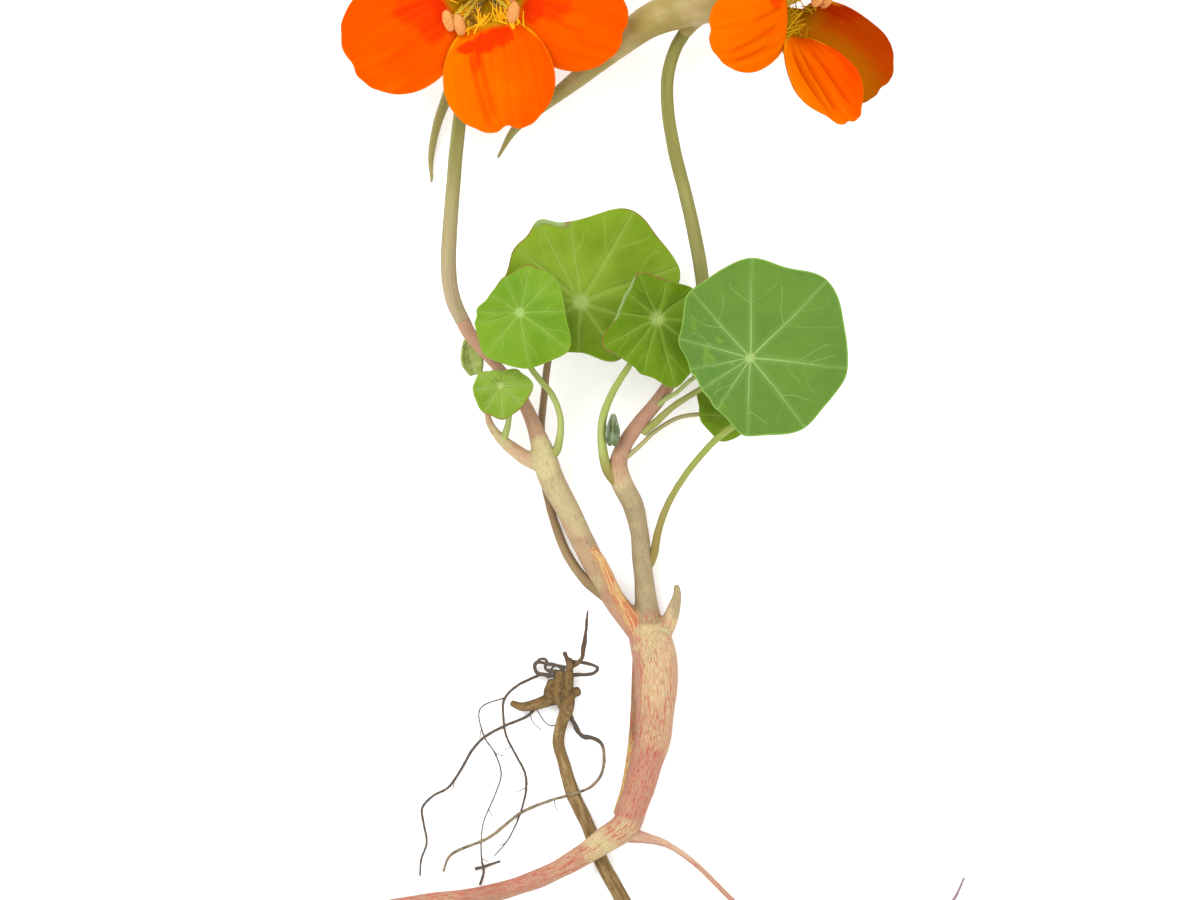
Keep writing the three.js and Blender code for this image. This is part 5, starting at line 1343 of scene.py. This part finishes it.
rightPetals = {
    "near_petal": {
        "angle": -161, "leans": [34, 104, 156], "blade": 18.5, "halfWidth": 8.9, "cup": -0.14, "wave": 0.7,
        "notch": 0.4, "tone": [0.3, 0], "patch": [[-0.5, 0.22, 0.3, 0.12, 0.8]], "clawHalfWidth": 2.6,
        "creases": [[0.0, 0.62, 0.1, 0.2, 0.85], [0.35, 0.85, 0.1, 0.3, 0.8], [-0.3, 0.1, 0.1, 0.1, 0.6]],
    },
    "middle_petal": {
        "angle": -99, "twist": 38, "leans": [34, 52, 52], "blade": 19, "halfWidth": 7.2, "cup": 0.1,
        "wave": 0.9, "notch": 0.4, "tone": [0.45, 0.5], "patch": [[0.9, 0.34, 0.3, 0.34, 0.36]],
        "clawHalfWidth": 3.4,
        # the fold spots lie between the folds, where the blade is painted darker as painted shade
        "folds": [
            [-0.5, 0.45, 0.13, 0.4, 0.75], [-0.14, 0.42, 0.1, 0.42, 0.6], [0.32, 0.5, 0.09, 0.4, 0.3],
        ],
        "creases": [
            [-0.5, -0.55, 0.5, 0.12, 0.75], [-0.12, -0.2, 0.5, 0.1, 0.9], [0.3, 0.35, 0.5, 0.14, 0.85],
        ],
    },
    "far_petal": {
        "angle": -42, "twist": 56, "leans": [34, 50, 51], "blade": 19.6, "halfWidth": 8.4, "cup": 0.06,
        # dim covers the whole far petal, painted darker all over as painted shade, since it lies in the
        # shade of the others
        "notch": 0.4, "tone": [0.6, 0], "patch": [[1.0, 0.16, 0.4, 0.2, 0.7]], "dim": [[0, 0.5, 3, 3, 1]],
        "band": [[-0.5, 0.4, 0.8, 0.7, 1], [-0.3, 0.0, 1, 0.16, 1]], "clawHalfWidth": 4.2,
        "creases": [[0.6, 0.65, 0.2, 0.2, 0.8]],
    },
    "upper_far_petal": {
        "angle": 65, "leans": [34, 68, 84], "blade": 19.5, "halfWidth": 9, "wave": 0.9,
        "clawHalfWidth": 4.2,
    },
    "upper_near_petal": {
        "angle": 122, "leans": [24, 58, 82], "blade": 19.5, "halfWidth": 10,
        "creases": [[-0.3, -0.4, 0.2, 0.1, 0.8], [0.0, 0.05, 0.3, 0.1, 0.9], [0.3, 0.4, 0.2, 0.1, 0.7]],
    },
}
flowers = {
    "left": {
        "centre": [-20.7, 82.4, 12.2], "faces": [0.02, -0.04, 1], "shaded": 1.0, "firstSeed": 0,
        "petals": leftPetals, "sepals": [[-51, 110], [-116, 110], [165, 110], [87, 110], [17, 110]],
        "stamens": [[-126, 38], [-139, 41], [-39, 28], [175, 24], [-5, 22], [130, 22], [90, 14], [50, 22]],
        "spur": [
            [-20.8, 82, 12.4, 3], [-21.6, 78.6, 10.2, 3.1], [-23, 74, 7.6, 2.7], [-25, 69, 5.4, 1.8],
            [-27.3, 63.8, 3.6, 1.05], [-29.3, 58.4, 2.2, 0.8], [-30.4, 52.6, 1.2, 0.6],
            [-30.3, 48.2, 0.65, 0.2],
        ],
        "boss": [[-20.9, 80, 13, 2.2], [-21.6, 76.5, 12.3, 1.5], [-22.1, 73, 11.6, 1.25]],
    },
    "right": {
        "centre": [26.3, 80.8, 14.2], "faces": [0.95, -0.06, 0.26], "shaded": 0.0, "firstSeed": 10,
        "petals": rightPetals, "sepals": [[-64, 78], [-136, 165], [160, 165], [90, 125], [12, 100]],
        "stamens": [[165, 14], [140, 18], [115, 16], [90, 22], [65, 17], [40, 18], [15, 14], [90, 6]],
        "spur": [
            [26.6, 80.7, 14.4, 3], [21, 80.3, 14.4, 3.8], [15, 79, 14, 3.6], [9, 76.8, 13, 3],
            [2.3, 71.8, 11.4, 2.3], [-4.3, 66.3, 9.6, 1.6], [-10.8, 61.3, 7.8, 1.05],
            [-15.3, 57.5, 6.2, 0.8], [-18.3, 52.6, 4.8, 0.25],
        ],
        "boss": [[19, 79.2, 13.6, 2.4], [16.8, 76.9, 11, 1.6], [15.2, 74.9, 9.8, 1.25]],
    },
}


def flowerAxes(flower):
    # the flower's own x, y and z directions: z is the way it faces and y points to its upper petals
    facing = unit(np.array(flower["faces"], dtype=float))
    side = unit(np.cross([0.0, 1.0, 0.0], facing))
    return np.stack([side, np.cross(facing, side), facing])


def intoPlace(points, flower):
    # from the flower's own directions to where it stands
    return points @ flowerAxes(flower) + np.array(flower["centre"])


def intoFlower(points, flower):
    # from where it stands to the flower's own directions
    return (points - np.array(flower["centre"])) @ flowerAxes(flower).T


def aroundAxis(degrees):
    # the direction out from the flower's axis at an angle, and the direction round it there
    angle = np.radians(degrees)
    return np.array([np.cos(angle), np.sin(angle), 0.0]), np.array([-np.sin(angle), np.cos(angle), 0.0])


def petalPoints(petal, gone, across):
    # The middle line leaves the claw's foot and leans outward more and more. The blade widens as a
    # quarter circle to a power and ends in half an ellipse with a notch. Its edges lift, ripple and
    # crease. Returns the points, the direction of the face there, the place along the blade and the
    # half width.
    steps = np.linspace(0, claw["length"] + petal["blade"], blade["steps"])
    opened = smooth(steps, claw["length"] - claw["opensBefore"], claw["length"] + claw["opensAfter"])
    foot, start, end = petal["leans"]
    onward = between(start, end, np.clip((steps - claw["length"]) / petal["blade"], 0, 1))
    lean = np.radians(between(foot, onward, opened))
    outward = claw["foot"] + np.append(0, np.cumsum(np.sin(lean[1:]) * steps[1]))
    upward = claw["start"] + np.append(0, np.cumsum(np.cos(lean[1:]) * steps[1]))
    onBlade = np.clip((gone - claw["length"]) / petal["blade"], 0, 1)
    corner = (1 - blade["widest"]) * petal["blade"] * (1 - np.sqrt(np.maximum(0, 1 - across**2)))
    notch = petal["notch"] * np.exp(-blade["notchSharpness"] * across**2)
    waves = (high * np.sin(count * across + petal["angle"]) for high, count in blade["raggedWaves"])
    reached = gone - onBlade * (corner + notch) - sum(waves) * onBlade**4
    along = (reached - claw["length"]) / petal["blade"]
    wide = np.clip((along + blade["shoulder"]) / (blade["widest"] + blade["shoulder"]), 0, 1)
    widening = (wide * (2 - wide)) ** blade["roundness"]
    onClaw = np.clip(gone / claw["length"], 0, 1)
    clawHalf = between(claw["footHalfWidth"], petal["clawHalfWidth"], onClaw)
    half = between(clawHalf, petal["halfWidth"], widening)
    distance, height, turn = (np.interp(reached, steps, values) for values in (outward, upward, lean))
    radial, round_ = aroundAxis(petal["angle"])
    upright = np.array([0.0, 0.0, 1.0])
    normal = radial * -np.cos(turn)[..., None] + upright * np.sin(turn)[..., None]
    lift = petal["cup"] * petal["halfWidth"] * across**2 * widening
    lift = lift + petal["wave"] * onBlade**2 * np.sin(blade["waves"] * np.pi * across) * across**2
    for line, crease in zip(creaseLines(petal, across, along), petal["creases"]):
        lift = lift - crease[2] * line
    ribbing = blade["ribbing"] * np.sin(blade["ribs"] * across) * smooth(along, 0.05, 0.3)
    lift = lift + ribbing * (1 - 0.6 * onBlade)
    twist = np.radians(petal["twist"]) * widening
    side = round_ * np.cos(twist)[..., None] + normal * np.sin(twist)[..., None]
    face = normal * np.cos(twist)[..., None] - round_ * np.sin(twist)[..., None]
    middle = radial * distance[..., None] + upright * height[..., None]
    return middle + side * (half * across)[..., None] + face * lift[..., None], face, along, half


def creaseLines(petal, across, along):
    # each crease is a bell curve across the petal that fades in and out along it
    lines = []
    for start, end, _, fromPlace, toPlace in petal["creases"]:
        bell = np.exp(-(((across - between(start, end, along)) / blade["creaseWidth"]) ** 2))
        fadeOut = 1 - smooth(along, toPlace - 0.15, toPlace)
        lines.append(bell * smooth(along, fromPlace, fromPlace + 0.12) * fadeOut)
    return lines


def spotField(spots, across, along):
    # soft ovals: full inside and nothing outside
    most = 0 * across
    for acrossAt, alongAt, acrossSize, alongSize, strength in spots:
        away = np.hypot((across - acrossAt) / acrossSize, (along - alongAt) / alongSize)
        most = np.maximum(most, strength * (1 - smooth(away, 0.6, 1.4)))
    return most


def fringeHairs(petal, flower, seed):
    # Pointed hairs at the foot of the blade. Each leaves the petal near its edge, sideways, upwards and
    # back to the throat, and bends up.
    chance = np.random.default_rng(seed)
    count = hairMake["count"]

    def draw(name):
        return chance.uniform(*hairMake[name], count)

    side = chance.choice([-1.0, 1.0], count)
    across = side * draw("across")
    gone = claw["length"] + draw("start")
    root, face, _, _ = petalPoints(petal, gone, across)
    ahead = unit(petalPoints(petal, gone + 0.2, across)[0] - root)
    sideways = np.cross(face, ahead) * side[:, None]
    out, up, back = draw("out"), draw("up"), draw("back")
    direction = unit(sideways * out[:, None] + face * up[:, None] - ahead * back[:, None])
    bend = face * draw("bendUp")[:, None] + sideways * draw("bendAside")[:, None]
    length = hairMake["length"] * draw("lengthShare")
    steps = np.linspace(0, 1, 5)[:, None]
    hairs = []
    for number in range(count):
        line = root[number] + length[number] * (direction[number] * steps + bend[number] * steps**2)
        thin = hairMake["radius"] * (1 - 0.85 * steps)
        route = np.hstack([intoPlace(line, flower), thin])
        hair = tube(route, sides=6, spacing=0.5, upward=hairMake["upward"], seed=number)
        hairs.append(marked(hair, hair=1, shaded=flower["shaded"]))
    return hairs


def petalShape(petal, flower, seed):
    # a sheet of rows along the petal and columns across it, with the fringe at its foot
    total = claw["length"] + petal["blade"]
    gone = np.linspace(0, total, blade["rows"])[:, None] + np.zeros((1, blade["columns"]))
    across = np.sin(np.linspace(-np.pi / 2, np.pi / 2, blade["columns"]))[None, :] + 0 * gone
    grid, face, along, half = petalPoints(petal, gone, across)
    fields = {
        "across": across,
        "along": along,
        "crease": np.clip(np.sum(creaseLines(petal, across, along), axis=0), 0, 1),
        "rim": np.minimum(half * (1 - np.abs(across)), total - gone),
        "tone": petal["tone"][0] + petal["tone"][1] * across,
        "seed": np.full(gone.shape, seed * 3.7),
        "hair": 0 * gone,
        "shaded": np.full(gone.shape, flower["shaded"]),
    }
    for name in ("patch", "dim", "band", "folds"):
        fields[name] = spotField(petal[name], across, along)
    thickness = blade["thickness"] + 0 * gone
    shape = shell(intoPlace(grid, flower), thickness, False, fields, face @ flowerAxes(flower))
    return combined([shape, *fringeHairs(petal, flower, seed)]) if petal["fringed"] else shape


def petalMaterial():
    # streaks and threads fan out along the petal, because they are drawn in its own places
    paint = Paint("petal_skin", Roughness=0.6, Specular_IOR_Level=0.0)
    names = ("across", "along", "tone", "seed", "patch", "dim", "band", "folds", "rim", "shaded")
    fields = (paint.attribute(name) for name in names)
    across, along, tone, seed, patch, dim, band, folds, rim, shaded = fields
    streak = paint.noise(paint.vector(across * 8.0, along * 1.1, seed), *blade["streaks"])
    thread = paint.noise(paint.vector(across * 26.0, along * 1.8, seed), *blade["threads"])
    cloud, grain = (paint.noise(paint.place(), *blade[name]) for name in ("clouds", "grains"))
    redness = (tone + (cloud - 0.5) * 0.7 + (streak - 0.5) * 0.8).rise(0.0, 1.0)
    uneven = (streak - 0.5) * 1.1 + (thread - 0.5) * 0.5
    spot = (patch + uneven * patch.rise(0.0, 0.4)).rise(0.2, 1.0)
    shoulder = (1 - rim.rise(0.25, 0.9)) * (1 - along.rise(0.08, 0.2))
    clawTint, hairTint = thread.rise(0.45, 0.6), grain.rise(0.4, 0.6)
    openClaw = paint.mix(clawTint, claw["openLight"], claw["openDark"])
    shadedClaw = paint.mix(clawTint, claw["light"], claw["dark"])
    openHair = paint.mix(hairTint, hairMake["openLight"], hairMake["openDark"])
    shadedHair = paint.mix(hairTint, hairMake["light"], hairMake["dark"])
    paint.skin = paint.mix(redness, blade["yellower"], blade["redder"])
    paint.lay(thread.rise(0.5, 0.75) * 0.3, blade["redder"])
    paint.lay((1 - rim.rise(0.1, 0.5)) * 0.3, blade["rim"])
    # painted shade: each crease's groove is painted darker
    paint.lay(paint.attribute("crease") * 0.6, blade["crease"])
    # painted shade: between the middle petal's folds the blade is painted a darker orange
    paint.lay(folds * 0.8, blade["fold"])
    paint.lay(spot * 0.95, blade["patch"])
    # painted shade: a petal that lies in the shade of the others is painted darker, its red patch too
    paint.lay(dim * (0.9 + 0.3 * (streak - 0.5)), blade["dim"])
    paint.lay(band * 0.9, blade["band"])
    paint.lay(spot * dim, blade["dimPatch"])
    paint.lay(shoulder * 0.85, blade["shoulderSkin"])
    # painted light: on the flower whose throat stands in shade, the claws and hairs take their lighter
    # colours
    paint.lay(1 - along.rise(-0.06, 0.03), paint.mix(shaded, openClaw, shadedClaw))
    paint.lay(paint.attribute("hair"), paint.mix(shaded, openHair, shadedHair))
    height = thread * 0.4 + streak * 0.6 + grain * 0.15
    relief = paint.bump(height, distance=0.2, strength=0.5)
    return paint.finish(Normal=relief, Roughness=0.55 + 0.1 * grain)


def sepalShape(angle, tipLean, flower):
    # a strip that bends evenly from the lean at its foot to the lean at its tip and narrows as a cosine
    foot = np.radians(sepalMake["footLean"])
    bend = (np.radians(tipLean) - foot) / sepalMake["length"]
    out, across = np.linspace(0, 1, 30)[:, None], np.linspace(-1, 1, 15)[None, :]
    gone = sepalMake["length"] * out * (1 - sepalMake["drawnBack"] * across**2)
    lean = foot + bend * gone
    outward = calyx["rimRadius"] - sepalMake["inside"] + (np.cos(foot) - np.cos(lean)) / bend
    height = calyx["depth"] - sepalMake["below"] + (np.sin(lean) - np.sin(foot)) / bend
    sideways = sepalMake["halfWidth"] * across * np.cos(sepalMake["taper"] * out)
    radial, round_ = aroundAxis(angle)
    grid = radial * outward[..., None] + round_ * sideways[..., None]
    grid = grid + np.array([0, 0, 1.0]) * height[..., None]
    return shell(intoPlace(grid, flower), sepalMake["thickness"] + 0 * outward, False, {})


def cupShape(flower):
    # the cup's wall turned round the flower's axis: up its outside, over its rim and down its inside
    depth, wall, rim, base = calyx["depth"], calyx["wall"], calyx["rimRadius"], calyx["baseRadius"]
    middle = between(base, rim, 0.7)
    profile = np.array([
        [0.01, 0], [base, calyx["baseHeight"]], [middle, depth * 0.5], [rim, depth],
        [rim - wall, depth], [middle - wall, depth * 0.55], [base - wall, calyx["floorRim"]],
        [0.01, calyx["floor"]],
    ])
    angle = np.arange(calyx["sides"]) * 2 * np.pi / calyx["sides"]
    radius, height = profile[:, None, 0], profile[:, None, 1] + 0 * angle[None, :]
    grid = np.stack([radius * np.cos(angle), radius * np.sin(angle), height], -1)
    shape = closedTurning(grid, [0, 0, 0], [0, 0, calyx["floor"]])
    shape["points"] = intoPlace(shape["points"], flower)
    return shape


def belowFloor(part, flower):
    # what stands in the cup's hollow is pushed down to its floor
    local, lowered = intoFlower(part["points"], flower), calyx["lowered"]
    heights = [0, calyx["floorRim"], calyx["depth"]]
    hollow = np.interp(local[:, 2], heights, calyx["hollowRadii"])
    inside = (np.hypot(local[:, 0], local[:, 1]) < hollow) & (local[:, 2] > lowered)
    local[inside, 2] = lowered
    part["points"] = intoPlace(local, flower)
    return part


def calyxMaterial():
    # cloudy skin lined along the grain, another colour at the tips and in the throat
    paint = Paint("calyx_skin", Roughness=0.55, Specular_IOR_Level=0.2, Subsurface_Weight=0.08,
                  Subsurface_Scale=0.0006)
    line, fineLine = (paint.fibres(*calyx[name]) for name in ("lineFibres", "fineFibres"))
    cloud = paint.noise(paint.place(), *calyx["clouds"])
    # painted light: the throat's yellow is painted lighter than its own, for the shade in the cup and on
    # the rim
    throatSkin = paint.mix(line.rise(0.42, 0.6), calyx["throatLight"], calyx["throatDark"])
    paint.skin = paint.mix(cloud.rise(0.35, 0.65), calyx["light"], calyx["dark"])
    paint.lay(line.rise(0.5, 0.7) * 0.35, calyx["line"])
    paint.lay(paint.attribute("tip") * 0.8, calyx["tip"])
    paint.lay(paint.attribute("throat"), throatSkin)
    return paint.finish(Normal=paint.bump(line + fineLine * 0.4, distance=0.25, strength=0.5))


def calyxShape(flower):
    # cup, spur, stalk boss and sepals grown into one skin
    spur = tube(flower["spur"], sides=28, spacing=0.5, lumps=0.02, ribs=8, ribDepth=0.025, seed=4)
    boss = tube(flower["boss"], sides=24, spacing=0.5, seed=5)
    sepals = [sepalShape(angle, tipLean, flower) for angle, tipLean in flower["sepals"]]
    parts = [cupShape(flower), belowFloor(spur, flower), belowFloor(boss, flower), *sepals]
    shape = grown(parts, calyx["voxel"], rounds=3)
    points = shape["points"]
    points[:, 2] = np.maximum(points[:, 2], 0.02)
    grain, _ = grainOf(points, [flower["spur"], flower["boss"]], spacing=0.8)
    local = intoFlower(points, flower)
    around, height = np.hypot(local[:, 0], local[:, 1]), local[:, 2]
    throat = np.interp(height, calyx["throatHeights"], calyx["throatRadii"])
    inside = (around < throat) & (height > calyx["throatFrom"])
    # painted light: the throat's lighter yellow also covers the rim and the feet of the sepals, where they
    # stand in shade
    onRim = (height > calyx["rimFrom"]) * (1 - smooth(around, *calyx["rimFades"]))
    shape["fields"] = {
        "grain": grain,
        "throat": np.maximum(inside, onRim),
        "tip": smooth(around, *calyx["tipRises"]),
    }
    return shape


def antherShape(place, ahead, seed):
    # a long egg, pinched by a groove on two sides
    turn = np.arange(stamen["sides"]) * 2 * np.pi / stamen["sides"]
    level = np.linspace(-1, 1, 17)[1:-1]
    groove = 1 - stamen["groove"] * np.exp((np.cos(2 * turn) - 1) * 6)
    wide = stamen["antherRadius"] * np.sqrt(1 - level**2)[:, None] * groove[None, :]
    ahead = unit(ahead)
    side = unit(np.cross(stamen["antherSide"], ahead))
    top = np.cross(ahead, side)
    lengthwise = ahead * (stamen["antherLength"] * level[:, None] + 0 * wide)[..., None]
    grid = side * (wide * np.cos(turn))[..., None] + top * (wide * np.sin(turn))[..., None] + lengthwise
    lumps = stamen["lumps"] * rolling(grid, stamen["lumpSize"], seed)
    grid = grid * (1 + lumps)[..., None] + place
    reach = ahead * stamen["antherLength"]
    shape = marked(closedTurning(grid, place - reach, place + reach), anther=1)
    shape["fields"]["grain"] = shape["points"] * 1.0
    return shape


def stamenShape(flower):
    # Threads that lean outward evenly from the flower's axis, on a boss. The anther at the end of each
    # is tipped towards the upper petals.
    parts, axes = [], flowerAxes(flower)
    for number, (angle, leanTo) in enumerate(flower["stamens"]):
        lean = np.radians(leanTo)
        radial, _ = aroundAxis(angle)
        reach = stamen["length"] + stamen["lengthStep"] * (number % 3)
        gone = np.array([0, 0.3, 0.65, 0.95]) * reach
        leanAt = lean * between(0.5, 1, gone / reach)
        out = stamen["footRadius"] + gone * np.sin(leanAt)
        up = stamen["footHeight"] + gone * np.cos(leanAt)
        line = np.stack([out * radial[0], out * radial[1], up], 1)
        thick = between(stamen["footThickness"], stamen["topThickness"], gone / reach)[:, None]
        route = np.hstack([intoPlace(line, flower), thick])
        parts.append(tube(route, sides=8, spacing=0.5, upward=stamen["upward"], seed=number))
        tip = stamen["footRadius"] + reach * np.sin(lean)
        top = [[tip * radial[0], tip * radial[1], stamen["footHeight"] + reach * np.cos(lean)]]
        ahead = np.array([np.sin(lean) * radial[0], np.sin(lean) * radial[1], np.cos(lean)]) @ axes
        parts.append(antherShape(intoPlace(np.array(top), flower)[0], ahead * 0.5 + axes[1], number))
    foot = np.array(stamen["boss"])
    route = np.hstack([intoPlace(foot[:, :3], flower), foot[:, 3:]])
    parts.append(tube(route, sides=12, spacing=0.3, upward=stamen["upward"]))
    return combined(parts)


def stamenMaterial():
    # yellow threads, painted lighter than their own yellow as painted light for the throat's shade, and
    # powdery anthers
    paint = Paint("stamen_skin", Roughness=0.75, Specular_IOR_Level=0.1)
    pollen = paint.noise(paint.place(), *stamen["pollen"])
    powder = paint.mix(pollen.rise(0.4, 0.65), stamen["powder"], stamen["powderDark"])
    paint.skin = paint.mix(pollen.rise(0.35, 0.65), stamen["filament"], stamen["filamentDark"])
    paint.lay(paint.attribute("anther"), powder)
    return paint.finish(Normal=paint.bump(pollen, distance=0.3, strength=0.7))


petalSkin, calyxSkin, stamenSkin = petalMaterial(), calyxMaterial(), stamenMaterial()
for side, flower in flowers.items():
    prefix = side + "_flower_"
    makePiece(prefix + "calyx_cup", calyxShape(flower), calyxSkin, "calyx", prefix + "calyx")
    makePiece(prefix + "stamen_ring", stamenShape(flower), stamenSkin, "stamen", prefix + "stamens")
    for seed, (name, ownValues) in enumerate(flower["petals"].items(), flower["firstSeed"]):
        kind = upperPetal if name.startswith("upper") else {}
        shape = petalShape({**plainPetal, **kind, **ownValues}, flower, seed)
        makePiece(prefix + name + "_blade", shape, petalSkin, "petal", prefix + name)
print("flowers opened")

# floor

table = {"reach": 3.0, "white": (0.97, 0.97, 0.97, 1), "glow": 0.08}


def makeFloor():
    mesh = bpy.data.meshes.new("table_top")
    reach = table["reach"]
    corners = [(-reach, -reach, 0), (reach, -reach, 0), (reach, reach, 0), (-reach, reach, 0)]
    mesh.from_pydata(corners, [], [(0, 1, 2, 3)])
    paint = Paint("table_white", Roughness=0.9, Base_Color=table["white"], Specular_IOR_Level=0.1,
                  Emission_Color=table["white"], Emission_Strength=table["glow"])
    mesh.materials.append(paint.material)
    floor = intoScene("table_top", mesh)


makeFloor()
print("all pieces made")
